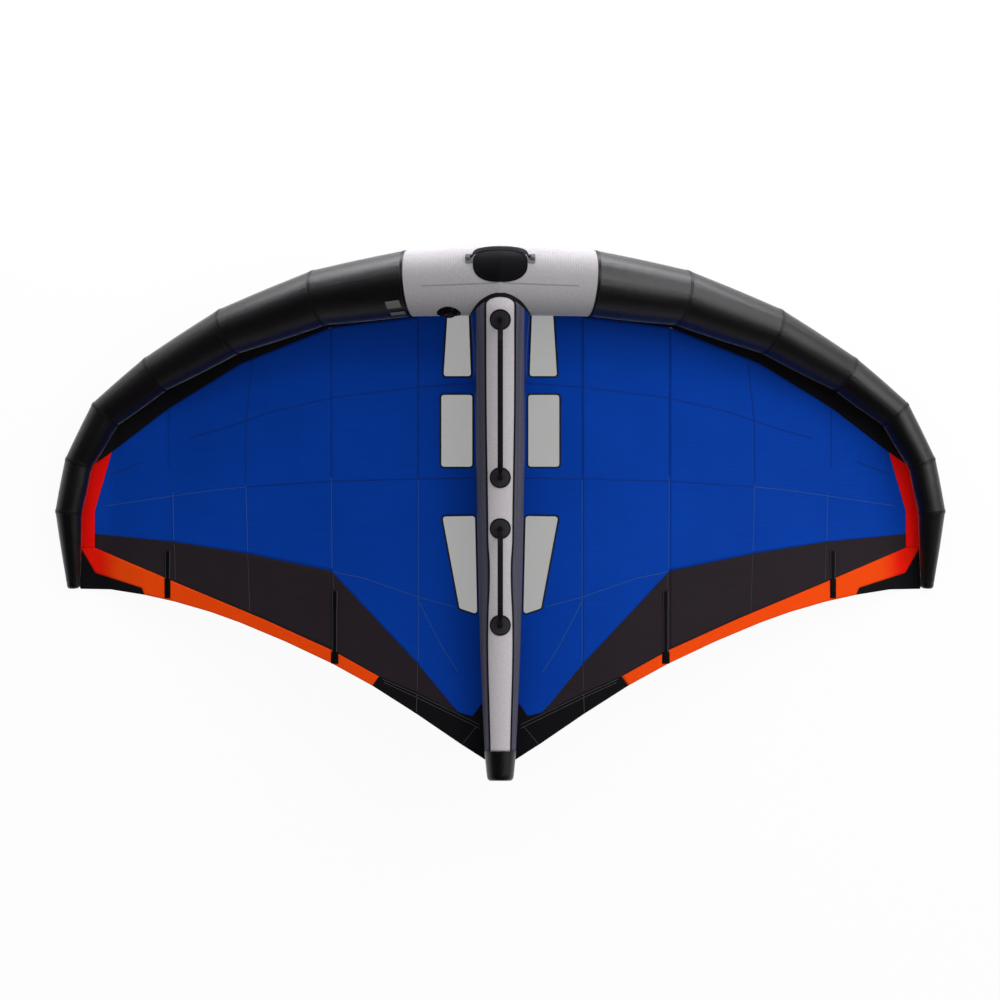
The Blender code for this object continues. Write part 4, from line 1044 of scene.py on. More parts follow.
for word, side in SIDES:
    panel(f"canopy_front_strip_{word}", front_edge(seam_x, attach[TIP_KINK + 1, 0]), strip_rear,
          black_cloth, side, 121, 13)
    panel(f"canopy_inner_panel_{word}", part_of(strip_rear, seam_x, outer_x),
          part_of(blue_rear, seam_x, outer_x), blue_cloth, side, 41, 91)
    panel(f"canopy_outer_panel_{word}", blue_outer_front, part_of(blue_rear, outer_x, blue_rear[0, 0]),
          blue_cloth, side, 101, 61)
    panel(f"rear_panel_outer_{word}", part_of(blue_rear, outer_x, blue_rear[0, 0]),
          part_of(orange_top[1:], outer_x, orange_top[1, 0]), charcoal_cloth, side,
          101, 21)
    inner_low = np.vstack((chevron_top[::-1], orange_top[5:6]))
    panel(f"rear_panel_inner_{word}", part_of(blue_rear, 0.0, outer_x), inner_low, charcoal_cloth,
          side, 91, 31)
    panel(f"trailing_edge_band_{word}", band_top, band_rear, orange_cloth, side, 121, 11)
    panel(f"tip_band_{word}", tip_outer, red_inner, red_cloth, side, 61, 13)
    panel(f"tip_corner_{word}", tip_rear, np.vstack((tail[2::-1], tip_end[None])), black_cloth,
          side, 61, 13)

right_tail = part_of(tail, 0.0, tail[8, 0])
whole_tail = np.vstack((mirrored(right_tail)[:0:-1], right_tail))
right_top = chevron_top[::-1]
whole_top = np.vstack((mirrored(right_top)[:0:-1], right_top))
panel("trailing_edge_chevron", whole_top, whole_tail, black_cloth, 1, 121, 21)

# %% [markdown]
# ## The windows' outlines
# Each window is a panel of film with rounded corners. An arc in a corner touches both sides, and
# its middle lies on the line that halves the corner.

# %% Window outlines
WINDOW_CORNER = 0.012
window_shares = {
    "upper": ((0.120, 0.128), (0.069, 0.128), (0.064, 0.247), (0.129, 0.247)),
    "middle": ((0.134, 0.279), (0.061, 0.279), (0.061, 0.416), (0.134, 0.416)),
    "lower": ((0.132, 0.506), (0.055, 0.505), (0.050, 0.692), (0.093, 0.680)),
}


def rounded(corners, radius, steps=7):
    """The outline with each corner made an arc of the radius."""
    arcs = []
    for before, point, after in zip(np.roll(corners, 1, axis=0), corners, np.roll(corners, -1, axis=0)):
        back, ahead = unit(before - point), unit(after - point)
        half = np.arccos(np.clip(back @ ahead, -1, 1)) / 2
        middle = point + unit(back + ahead) * radius / np.sin(half)
        start = back * radius / np.tan(half) + point - middle
        end = ahead * radius / np.tan(half) + point - middle
        part = np.linspace(0, 1, steps)[:, None]
        arcs.append(middle + unit(start * (1 - part) + end * part) * radius)
    return np.vstack(arcs)


windows = {level: rounded(plans(shares), WINDOW_CORNER) for level, shares in window_shares.items()}


def nearest_on(outline, points):
    """The nearest point on a closed outline, and how far it is: each point against each side."""
    start, end = outline, np.roll(outline, -1, axis=0)
    way = end - start
    part = ((points[:, None] - start[None]) * way[None]).sum(-1) / (way ** 2).sum(-1)
    foot = start[None] + np.clip(part, 0, 1)[..., None] * way[None]
    off = np.linalg.norm(points[:, None] - foot, axis=-1)
    best = off.argmin(axis=1)
    rows = np.arange(len(points))
    return foot[rows, best], off[rows, best]


def inside(outline, points):
    """Odd number of sides crossed on the way out to the right."""
    start, end = outline, np.roll(outline, -1, axis=0)
    x, y = points[:, None, 0], points[:, None, 1]
    spans = (start[None, :, 1] > y) != (end[None, :, 1] > y)
    rise = np.where(end[:, 1] == start[:, 1], 1.0, end[:, 1] - start[:, 1])
    at = start[None, :, 0] + (y - start[None, :, 1]) * (end - start)[None, :, 0] / rise[None]
    return (spans & (x < at)).sum(axis=1) % 2 == 1


# %% [markdown]
# ## The centre panel with its six openings
# The panel is one fine grid. Cells inside a window are left out and the border corners move to
# the nearest point of its outline, in plan, before the cloth gets its height.

# %% Centre panel
def centre_panel():
    right_front = front_edge(0.0, seam_x)
    right_rear = part_of(blue_rear, 0.0, seam_x)
    front = np.vstack((mirrored(right_front)[:0:-1], right_front))
    rear = np.vstack((mirrored(right_rear)[:0:-1], right_rear))
    flat = ruled(front, rear, 97, 241)
    middles = (flat[1:, 1:] + flat[:-1, :-1] + flat[1:, :-1] + flat[:-1, 1:]) / 4
    outlines = [on_side(outline, side) for outline in windows.values() for word, side in SIDES]
    hole = np.zeros(middles.shape[:2], bool)
    for outline in outlines:
        cut = inside(outline, middles.reshape(-1, 2)).reshape(hole.shape)
        touched = np.zeros(flat.shape[:2], bool)
        whole = np.ones(flat.shape[:2], bool)
        for rows, columns in ((slice(0, -1), slice(0, -1)), (slice(1, None), slice(0, -1)),
                              (slice(0, -1), slice(1, None)), (slice(1, None), slice(1, None))):
            touched[rows, columns] |= cut
            whole[rows, columns] &= cut
        border = touched & ~whole
        flat[border] = nearest_on(outline, flat[border])[0]
        hole |= cut
    points = on_canopy(flat)
    area = grid_area(points)
    lost = hole.mean() * area
    keep = hole.ravel()

    def cut_out(cells):
        return keep

    made = piece("sewn_canopy_centre_panel", [(points, points[..., :2])], blue_cloth,
                 "canopy_centre_panel", upward=True, wall=CLOTH, drop=cut_out)
    declare_sheet(points, area - lost)
    return made, int(hole.sum())


centre, cells = centre_panel()
print("centre panel:", cells, "cells left out for its windows")

# %% [markdown]
# ## Panes and their binding
# A pane is the outline shrunk towards its middle, ring by ring, which is a polar grid without a
# hole. The film lies in the cloth's own height, and a black binding covers the edge of both.

# %% Panes and binding
BINDING = 0.0062


def resampled(outline, count):
    """A closed outline walked at an even pace."""
    closed = np.vstack((outline, outline[:1]))
    return walked(closed, count + 1)


binding_tape = stitched("window_binding", (0.006, 0.006, 0.0065), (0.03, 0.03, 0.032), BINDING / 2, (0.0,))
for word, side in SIDES:
    for level, outline in windows.items():
        rim = resampled(outline, 96)
        middle = outline.mean(axis=0)
        part = np.linspace(0, 1, 17)[:, None, None]
        flat = middle + (rim - middle)[None] * part
        points = on_canopy(flat, -LAY_GAP) - UP * (0.0022 * (1 - part ** 2))
        points = on_side(points, side)
        node = f"window_{level}_{word}"
        pane = piece(f"film_{node}", [(points, points[..., :2])], window_film, node,
                     upward=True, wall=0.0004)
        declare_sheet(points, size=[float(value) for value in np.ptp(outline, axis=0)])
        ahead = unit(np.roll(rim[:-1], -1, axis=0) - np.roll(rim[:-1], 1, axis=0))
        ahead = np.vstack((ahead, ahead[:1]))
        aside = np.column_stack((ahead[:, 1], -ahead[:, 0], np.zeros(len(ahead))))
        middles = on_canopy(rim, 0.0)
        band, uv = closed_loft(middles, aside, np.broadcast_to(UP, middles.shape), BINDING / 2, 0.0009,
                               sunk=0.0016)
        piece(f"binding_{node}", [(on_side(band, side), uv)], binding_tape)
print("windows:", 2 * len(windows))

# %% [markdown]
# ## Sewn lines on the canopy
# Where cloths overlap, the stitched hem shows as a fine line, darker ahead and paler behind. Each
# line is a narrow band laid on the canopy along a route in plan, walked in short steps so that it
# follows the camber. The routes are kept as dots of a plan drawn at 3.64 mm to the dot.

# %% Sewn lines
def line_band(name, route, half_width, rise, finish, side=1, step=0.012):
    """A band along a route in plan, on the canopy."""
    route = np.asarray(route, float)
    length = np.linalg.norm(np.diff(route, axis=0), axis=1).sum()
    flat = walked(route, max(int(length / step), 4))
    ahead = unit(np.gradient(flat, axis=0))
    aside = np.column_stack((ahead[:, 1], -ahead[:, 0], np.zeros(len(ahead))))
    middles = on_canopy(flat)
    points, uv = closed_loft(middles, aside, np.broadcast_to(UP, middles.shape), half_width, rise)
    return piece(name, [(on_side(points, side), uv)], finish)


def from_pixels(pairs):
    """Places read off a view straight down at 3.64 mm to the dot."""
    pairs = np.asarray(pairs, float)
    return np.column_stack(((pairs[:, 0] - 500.3) * 0.00364, (512.5 - pairs[:, 1]) * 0.00364))


SEAM_HALF = 0.0022
SEAM_RISE = 0.0006
front_seam = stitched("front_seam", (0.0012, 0.021, 0.16), (0.002, 0.032, 0.21), SEAM_HALF, (0.0,),
                      stitch=0.009)
blue_seam = stitched("blue_seam", (0.0025, 0.040, 0.24), (0.035, 0.085, 0.26), SEAM_HALF, (0.0,),
                     stitch=0.009)
dark_seam = stitched("dark_seam", (0.018, 0.014, 0.018), (0.055, 0.05, 0.055), SEAM_HALF, (0.0,),
                     stitch=0.009)
chevron_seam = stitched("chevron_seam", (0.003, 0.003, 0.0032), (0.085, 0.082, 0.08), SEAM_HALF, (0.0,),
                        stitch=0.007)
# Each entry: finish, record slot, and the ends of the line in dots of the plan.
seam_routes = {
    "length_1a": (front_seam, "blue_cloth", ((418.4, 320.5), (418.4, 478))),
    "length_1b": (blue_seam, "blue_cloth", ((418.4, 480), (418.4, 661))),
    "length_1c": (dark_seam, "charcoal_cloth", ((417.6, 664), (417.2, 690))),
    "length_1d": (chevron_seam, "black_cloth", ((417.0, 694), (416.4, 712))),
    "length_2a": (front_seam, "blue_cloth", ((331.2, 331), (331.2, 476))),
    "length_2b": (blue_seam, "blue_cloth", ((331.2, 478), (331.8, 568))),
    "length_2c": (dark_seam, "charcoal_cloth", ((332.6, 574), (333.5, 590))),
    "length_3a": (front_seam, "blue_cloth", ((252.5, 361), (246.0, 420), (245.4, 482))),
    "length_3b": (blue_seam, "blue_cloth", ((245.4, 485), (247.2, 551))),
    "length_3c": (dark_seam, "charcoal_cloth", ((247.4, 555), (249.4, 611))),
    "length_4a": (front_seam, "blue_cloth", ((168.6, 410), (168.6, 468))),
    "length_4b": (blue_seam, "blue_cloth", ((172.0, 492), (173.0, 540))),
    "length_4c": (dark_seam, "charcoal_cloth", ((173.6, 544), (174.6, 580))),
    "front_cross_1": (front_seam, "blue_cloth", ((477, 383), (419, 387), (377, 392), (332, 397.5))),
    "front_cross_2": (front_seam, "blue_cloth", ((331, 398), (268, 412.5), (228, 427), (188, 438))),
    "middle_cross_1": (front_seam, "blue_cloth", ((476, 478), (419, 479), (331, 481), (246, 487))),
    "middle_cross_2": (blue_seam, "blue_cloth", ((245, 487), (214, 490), (172, 496), (104, 506))),
    "outer_cross": (front_seam, "blue_cloth", ((144, 461), (109, 475))),
    "rear_cross": (blue_seam, "blue_cloth", ((333, 572), (363, 578), (418, 597), (455, 607))),
    "slant": (blue_seam, "blue_cloth", ((417.5, 599), (442, 647), (458, 672))),
    "chevron_edge_1": (chevron_seam, "black_cloth",
                       ((382.5, 679.2), (416.9, 694.2), (448.1, 709.2), (480, 724.6))),
    "chevron_edge_2": (chevron_seam, "black_cloth",
                       ((384, 682.4), (416.9, 697.4), (448.1, 712.6), (480, 728.2))),
    "chevron_slant": (chevron_seam, "black_cloth", ((477, 726), (463, 743))),
}
for word, side in SIDES:
    for level, (finish, slot, route) in seam_routes.items():
        line_band(f"seam_{level}_{word}", mirrored(from_pixels(route)), SEAM_HALF, SEAM_RISE, finish,
                  side)
print("sewn lines:", 2 * len(seam_routes))

# %% [markdown]
# ## The strut
# The strut's skin is one grid of turns and places along it. Its front row isn't a ring but the
# curve where it meets the leading edge, so every line along the strut starts at its own place.

# %% Strut sleeve
STRUT_TURNS = 97
strut_turns = np.linspace(-np.pi, np.pi, STRUT_TURNS)


def strut_grid(first, last, turns_round, rows, lift=0.0, dense=1.0):
    """Place (s, turn): y runs from first(turn) to last."""
    part = (np.linspace(0, 1, rows) ** dense)[:, None]
    y = first[None, :] * (1 - part) + last * part
    points = on_strut(turns_round[None, :], y, lift)
    u = np.broadcast_to(turns_round[None, :], y.shape)
    return points, np.stack((u, y), axis=-1)


points, uv = strut_grid(strut_front(strut_turns), STRUT_END, strut_turns, 121, dense=1.3)
piece("sewn_strut_sleeve", [(points, uv)], strut_cloth, "strut_sleeve", wall=0.0012)

# %% [markdown]
# ## The strip on the strut, its piping and the arch
# A pale strip runs along the top, rounded in front, with black piping on each side. Its half
# width comes from a table of places along the strut. A black tape covers the arch where strut
# and leading edge meet.

# %% Strip, piping and arch
strip_half_widths = np.array(((-0.95, 0.0362), (-0.868, 0.0371), (-0.41, 0.0455), (-0.355, 0.0444),
                              (-0.28, 0.0411), (-0.173, 0.0411), (-0.118, 0.0448), (-0.027, 0.0459),
                              (0.41, 0.0521), (0.715, 0.0531), (0.9, 0.0531)))
STRIP_FRONT = LENGTH / 2 - 0.097 * LENGTH
STRIP_SHOULDER = LENGTH / 2 - 0.113 * LENGTH


def strip_edge(y):
    """The turn of the strip's edge: its sine is the half width over the strut's radius."""
    return np.arcsin(np.clip(cubic(strip_half_widths, y) / strut_radius(y), 0, 0.99))


across = np.linspace(-1, 1, 41)
front_line = STRIP_SHOULDER + (STRIP_FRONT - STRIP_SHOULDER) * np.sqrt(1 - np.clip(np.abs(across), 0, 1) ** 2)
part = np.linspace(0, 1, 141)[:, None]
y = front_line[None, :] * (1 - part) + (STRUT_END + CLOTH) * part
strip = on_strut(across[None, :] * strip_edge(y), y, LAY_GAP + CLOTH)
uv = np.stack((across[None, :] * strip_edge(y) * strut_radius(y), y), axis=-1)
made = piece("sewn_strut_centre_strip", [(strip, uv)], strip_cloth,
             "strut_centre_strip", upward=True, wall=CLOTH)
declare_sheet(strip)

edge_y = np.concatenate((np.full(1, STRUT_END + 2 * CLOTH), np.linspace(STRUT_END + 0.01, STRIP_SHOULDER, 120)))
arc = np.linspace(0, np.pi / 2, 16)[1:]
top_share = np.cos(arc)
top_y = STRIP_SHOULDER + (STRIP_FRONT - STRIP_SHOULDER) * np.sin(arc)
route_y = np.concatenate((edge_y, top_y, top_y[-2::-1], edge_y[::-1]))
route_share = np.concatenate((np.ones(len(edge_y)), top_share, -top_share[-2::-1], -np.ones(len(edge_y))))
route = on_strut(route_share * strip_edge(route_y), route_y, LAY_GAP + CLOTH)
ahead = unit(np.gradient(route, axis=0))
middle_line = np.column_stack((np.zeros(len(route_y)), route_y, strut_centre(route_y)))
outward = unit((route - middle_line) * np.array((1.0, 0.0, 1.0)))
aside = unit(np.cross(ahead, outward))
band, uv = closed_loft(route, aside, outward, 0.0036, 0.0022, bulge=0.0006)
piping_tape = stitched("strut_piping", (0.005, 0.0045, 0.006), (0.02, 0.02, 0.022), 0.0036, (0.0,))
piece("strut_strip_piping", [(band, uv)], piping_tape)

arch_turns = np.linspace(-1.65, 1.65, 81)
arch_y = np.convolve(np.pad(strut_front(arch_turns), 6, mode="reflect", reflect_type="odd"), np.ones(13) / 13,
                     mode="valid")
arch_half = 0.0036 + 0.0044 * ease(1.35, 0.75, np.abs(arch_turns))
route = on_strut(arch_turns, arch_y - (arch_half - 0.0048), 0.0008)
ahead = unit(np.gradient(route, axis=0))
middle_line = np.column_stack((np.zeros(len(arch_y)), arch_y, strut_centre(arch_y)))
outward = unit(unit((route - middle_line) * np.array((1.0, 0.0, 1.0))) + np.array((0.0, 0.35, 0.35)))
aside = unit(np.cross(ahead, outward))
band, uv = closed_loft(route, aside, outward, arch_half, 0.0014, sunk=0.002)
piece("strut_arch_tape", [(band, uv)], piping_tape)

# %% [markdown]
# ## The strut's end cap
# A black cap closes the strut behind: rings along the strut, which shrink a little on their way
# and then, at the tail, as a superellipse of the eighth power, so the cap ends blunt.

# %% End cap
CAP_DOME_SHARE = 0.985
CAP_TAPER = 0.07
cap_start = STRUT_END + 0.004
cap_end = -LENGTH / 2
dome = (STRUT_END - cap_end) / 2
line = np.concatenate((np.linspace(cap_start, cap_end + dome, 9), cap_end + dome * (1 - np.sin(
    np.linspace(0, np.pi / 2, 15)[1:]))))
depth = np.clip((cap_end + dome - line) / dome, 0, 1)
taper = 1 - CAP_TAPER * (cap_start - line) / (cap_start - cap_end)
shrink = (taper * (1 - (depth * CAP_DOME_SHARE) ** 8) ** (1 / 8))[:, None, None]
full = on_strut(strut_turns[None, :], line[:, None], 0.0016)
centres = np.stack((np.zeros(len(line)), line, strut_centre(line)), axis=-1)[:, None]
body = centres + (full - centres) * shrink
tail_point = np.broadcast_to(body[-1:].mean(axis=1, keepdims=True), body[-1:].shape)
inner_row = centres[:1] + (full[:1] - centres[:1]) * 0.93
cap = np.concatenate((inner_row, body, tail_point))
piece("sewn_strut_end_cap", [cap], tube_cloth, "strut_end_cap")

# %% [markdown]
# ## The padded grips
# Each grip is webbing over foam: a rounded flat bar with a woven cover and a paler binding along
# both edges. It rises from a narrow neck at either end. Its section is a superellipse, with
# x = a |cos t| ^ 0.6 and z = b |sin t| ^ 0.7 with their signs, which turns from the neck's small
# oval into the flat bar along the route. The ends close in a point inside the folds that hold them.

# %% Grips
HANDLE_HEIGHT = 0.06
LEG_RUN = 0.055
LEG_START = 0.01
BOSS = np.array((0.02, 0.014, 0.018))
PIVOT_HEIGHT = 0.009
ANCHOR_RADIUS = 0.038
ANCHOR_THICKNESS = 0.003
ANCHOR_LIFT = LAY_GAP + CLOTH + 0.0009
joints = {joint["name"]: np.array(joint["pos_m"]) for joint in frame["joints"]}
grip_ends = {
    "front_handle": (joints["front_grip_swing"], np.array((0.0, 0.12675, 0.49588)), "front_grip"),
    "rear_handle": (joints["rear_grip_swing"], np.array((0.0, -0.4095, 0.49204)), "rear_grip"),
}


def signed_power(values, power):
    return np.sign(values) * np.abs(values) ** power


def section_along(route, sideways, outward, wide, high, steps=33, powers=(0.6, 0.7)):
    """A superellipse carried along a route and closed in a point at both ends. The UV holds the
    turn round the section in radians and the metres along the route."""
    turn = np.linspace(0, 2 * np.pi, steps)
    x = signed_power(np.cos(turn), powers[0])
    z = signed_power(np.sin(turn), powers[1])
    points = (route[:, None] + sideways[:, None] * (x[None, :] * wide[:, None])[..., None]
              + outward[:, None] * (z[None, :] * high[:, None])[..., None])
    first = np.broadcast_to(route[:1, None], points[:1].shape)
    last = np.broadcast_to(route[-1:, None], points[:1].shape)
    points = np.concatenate((first, points, last))
    run = np.concatenate(((0.0,), np.cumsum(np.linalg.norm(np.diff(route, axis=0), axis=1))))
    run = np.concatenate((run[:1], run, run[-1:]))
    return points, np.stack(np.broadcast_arrays(turn[None, :], run[:, None]), axis=-1)


def grip_finish():
    made = Finish("grip_cover", Roughness=0.62, Specular_IOR_Level=0.06)
    place, turn, along = made.flat_cloth()
    edge = abs(turn.cell(np.pi, 0.5)).between(0.13, 0.07)
    stitch = abs(abs(turn.cell(np.pi, 0.5)) - 0.17).between(0.02, 0.01) * abs(along.cell(0.006)).between(
        0.42, 0.34)
    where, x, y, z = made.in_space()
    weave = (x + y).wave(0.0021) * (x - y).wave(0.0021)
    cloud = made.noise(where, 45.0, 3.0)
    cover = made.mix((0.0062, 0.0052, 0.0058), (0.0125, 0.0105, 0.0118), cloud * 0.6 + weave * 0.4)
    bound = made.mix((0.026, 0.022, 0.027), (0.046, 0.04, 0.048), cloud)
    made.give("Base Color", made.mix(made.mix(cover, bound, edge), (0.06, 0.055, 0.06), stitch * 0.8))
    made.give("Roughness", cloud * 0.2 + 0.52)
    made.bump(weave * 0.5 + edge * 1.2 - stitch * 0.8, MILLIMETRE * 0.6, 0.8)
    return made.material


grip_cover = grip_finish()
for name, (front, rear, body) in grip_ends.items():
    line = unit(rear - front)
    lift_way = np.cross(line, ACROSS)
    lift_way = lift_way * np.sign(lift_way[2])
    inset = BOSS[1] / 2 - 0.0015
    length = np.linalg.norm(rear - front) - 2 * inset
    run = length * (0.5 - np.cos(np.linspace(0, np.pi, 181)) / 2)
    from_end = np.minimum(run, length - run)
    high = HANDLE_HEIGHT * ease(LEG_START, LEG_START + LEG_RUN, from_end)
    route = front + line * (inset + run)[:, None] + lift_way * high[:, None]
    ahead = unit(np.gradient(route, axis=0))
    outward = unit(np.cross(np.broadcast_to(ACROSS, ahead.shape), ahead))
    grown = ease(LEG_START, LEG_START + LEG_RUN / 2, from_end)
    grid = section_along(route, np.broadcast_to(ACROSS, ahead.shape), outward,
                         0.0066 + 0.0034 * grown, 0.0048 + 0.0037 * grown)
    made = piece(f"padded_{name}", [grid], grip_cover, name, body)
    print(name, "grip:", round(float(length), 3), "m between its folds")

# %% [markdown]
# ## The round patches and their folds
# Each end of a grip is held by a round rubber patch, welded to the strut, with a stiff fold in the
# middle. The patch is a polar grid wrapped on the strut: its rim is a raised bead, and fine ribs
# cross the field inside it. The fold is a superellipsoid, a box whose edges are all rounded.

# %% Patches
def superellipsoid(centre, axes, half, power=0.45, steps=25):
    """Place (u, v): half sizes times signed powers of cos u cos v, sin u cos v and sin v."""
    u = np.linspace(-np.pi, np.pi, 2 * steps - 1)[None, :]
    v = np.linspace(-np.pi / 2, np.pi / 2, steps)[:, None]
    flat = signed_power(np.cos(v), power)
    local = np.stack(np.broadcast_arrays(half[0] * flat * signed_power(np.cos(u), power),
                                         half[1] * flat * signed_power(np.sin(u), power),
                                         half[2] * signed_power(np.sin(v), power)), axis=-1)
    return centre + local @ np.asarray(axes)


def disc_rows(radius, thickness, rim, bead):
    """(share of the radius, height) from the middle over the rim's bead, down and back below."""
    field = [(share, thickness - bead) for share in np.linspace(0, (radius - rim) / radius, 12)]
    turn = np.linspace(np.pi, 0, 9)
    over = [(1 - rim / radius * (0.5 - 0.5 * np.cos(t)), thickness - bead + bead * np.sin(t)) for t in turn]
    return np.array(field + over + [(1.0, 0.0), (0.5, 0.0), (0.0, 0.0)])


def patch_grid(y):
    rows = disc_rows(ANCHOR_RADIUS, ANCHOR_THICKNESS, 0.0055, 0.0012)
    angle = np.linspace(0, 2 * np.pi, 65)[None, :]
    off = rows[:, :1] * ANCHOR_RADIUS
    x, along = off * np.cos(angle), off * np.sin(angle)
    ribs = 0.00035 * np.cos(2 * np.pi * x / 0.0062) * ((rows[:, :1] < 0.84) & (rows[:, 1:] > 0))
    place = y + along
    points = on_strut(x / strut_radius(place), place, ANCHOR_LIFT + rows[:, 1:] + ribs)
    return points, np.stack((x, along), axis=-1)


for name, (front, rear, body) in grip_ends.items():
    line = unit(rear - front)
    lift_way = np.cross(line, ACROSS)
    lift_way = lift_way * np.sign(lift_way[2])
    axes = (ACROSS, line, lift_way)
    for word, pivot in (("front", front), ("rear", rear)):
        middle = pivot + lift_way * (BOSS[2] / 2 - PIVOT_HEIGHT - ANCHOR_THICKNESS / 2)
        fold = superellipsoid(middle, axes, BOSS / 2)
        node = f"{name}_anchor_{word}"
        piece(f"moulded_{node}", [patch_grid(pivot[1]), (fold, np.zeros(fold.shape[:2] + (2,)))],
              patch_rubber, node)
print("patches: 4")

# %% [markdown]
# ## The handle on the nose
# Over the nose stands a strap of flat webbing. It arches between two sewn tabs over an oval
# rubber pad, which saves the cloth when the wing is dragged. The pad is a polar grid on the
# tube: its places are told by the distance along the span and the distance round from the top.

# %% Nose pad
PAD_HALF_WIDTH = 0.0995
PAD_REAR = -0.0085
PAD_FRONT = 0.130


def on_nose(x, round_top, lift):
    """A place on the middle of the leading edge: the way out is (0, sin a, cos a), where a is the
    distance round over the nose's radius."""
    x, round_top, lift = np.broadcast_arrays(x, round_top, lift)
    part = np.abs(x) / axis[1, 0]
    centre = axis[0] + (axis[1] - axis[0]) * part[..., None]
    radius = radii[0] + (radii[1] - radii[0]) * part
    angle = round_top / NOSE_RADIUS
    way = np.stack((np.zeros_like(angle), np.sin(angle), np.cos(angle)), axis=-1)
    reach = (radius + lift) / np.sqrt(1 - (way @ runs[0]) ** 2)
    return np.stack((x, centre[..., 1], centre[..., 2]), axis=-1) + way * reach[..., None]


def oval_grid(middle, half, rows, power=1.0, steps=97, base=TUBE_GAP):
    """Polar grid of an oval patch on the nose, from (share of its radius, height) rows. Power is
    that of the superellipse, one for the front half and one for the rear."""
    angle = np.linspace(0, 2 * np.pi, steps)[None, :]
    power = np.where(np.sin(angle) > 0, *(power if isinstance(power, tuple) else (power, power)))
    x = middle[0] + half[0] * rows[:, :1] * signed_power(np.cos(angle), power)
    round_top = middle[1] + half[1] * rows[:, :1] * signed_power(np.sin(angle), power)
    return on_nose(x, round_top, base + rows[:, 1:])


pad_rows = disc_rows(PAD_HALF_WIDTH, 0.0034, 0.012, 0.0014)
pad_grid = oval_grid((0.0, (PAD_FRONT + PAD_REAR) / 2), (PAD_HALF_WIDTH, (PAD_FRONT - PAD_REAR) / 2),
                     pad_rows, power=(0.62, 0.86))
pad = piece("moulded_nose_handle_pad", [pad_grid], pad_rubber, "nose_handle_pad")

# %% Tabs and strap on the nose
TAB_PLACE = 0.1135
STRAP_ANGLE = np.radians(39)
STRAP_LEAN = np.radians(35)
STRAP_HEIGHT = 0.052
STRAP_END = 0.1102
STRAP_STEEP = np.radians(30)
TAB_FOLD = np.array((0.017, 0.020, 0.018))
strap_hinge = joints["nose_strap_swing"]
strap_up = np.array((0.0, np.sin(STRAP_ANGLE), np.cos(STRAP_ANGLE)))
tab_rows = disc_rows(0.02, 0.003, 0.004, 0.0006)
for word, side in SIDES:
    patch = oval_grid((side * TAB_PLACE, NOSE_RADIUS * STRAP_ANGLE), (0.0137, 0.021), tab_rows, power=0.35)
    middle = np.array((side * 0.119, *strap_hinge[1:])) - strap_up * 0.0015
    fold = superellipsoid(middle, (ACROSS, np.cross(strap_up, ACROSS), strap_up), TAB_FOLD / 2, 0.5)
    node = f"nose_handle_tab_{word}"
    piece(f"sewn_{node}", [patch, fold], tab_cloth, node)

lean = np.array((0.0, np.sin(STRAP_LEAN), np.cos(STRAP_LEAN)))
reach = STRAP_END - LEG_START
turn = np.linspace(0, np.pi, 121)
arch = (np.array((0.0, *strap_hinge[1:])) - ACROSS * (reach * np.cos(turn))[:, None]
        + lean * (STRAP_HEIGHT * np.sin(turn) ** (2 / 3))[:, None])
ends = np.array([(side * STRAP_END, *strap_hinge[1:]) for side in (-1, 1)])
route = np.vstack((ends[:1], arch, ends[1:]))
route = np.column_stack([np.convolve(np.pad(line, 3, mode="edge"), np.ones(7) / 7, mode="valid")
                         for line in route.T])
route[0], route[-1] = ends
ahead = unit(np.gradient(route, axis=0))
steep = np.array((0.0, np.cos(STRAP_STEEP), -np.sin(STRAP_STEEP)))
flatwise = np.broadcast_to(steep, ahead.shape)
outward = unit(np.cross(ahead, flatwise))
from_end = np.minimum(np.arange(len(route)), np.arange(len(route))[::-1]) / 24
grown = ease(0, 1, from_end)
grid = section_along(route, flatwise, outward, 0.0055 + 0.0038 * grown,
                     np.full(len(route), 0.0027), powers=(0.5, 0.8))
piece("woven_nose_handle", [(grid[0], grid[1] * np.array((0.006, 1.0)))], strap_webbing,
      "nose_handle", "nose_strap")
print("nose handle: strap, pad and two tabs")

# %% [markdown]
# ## The inflation valve
# The valve is a plastic flange welded to the bladder, with a collar, and a cap that plugs it and
# turns on a small hinge. Both are lathe work: a profile of radius and height, turned about the
# valve's axis. The cap's rim is fluted for wet fingers.

# %% Valve
valve_axes = np.array((valve_side, valve_ahead, valve_up))


def lathe(profile, flutes=0, depth=0.0, steps=97):
    """Place (s, angle): radius(s) times the circle, less a flute's cosine where there are any."""
    profile = np.array(profile)
    angle = np.linspace(0, 2 * np.pi, steps)[None, :]
    radius = profile[:, :1] - depth * (1 + np.cos(flutes * angle)) / 2 * (profile[:, 2:] if flutes else 0)
    local = np.stack(np.broadcast_arrays(radius * np.cos(angle), radius * np.sin(angle), profile[:, 1:2]),
                     axis=-1)
    return valve_origin + local @ valve_axes


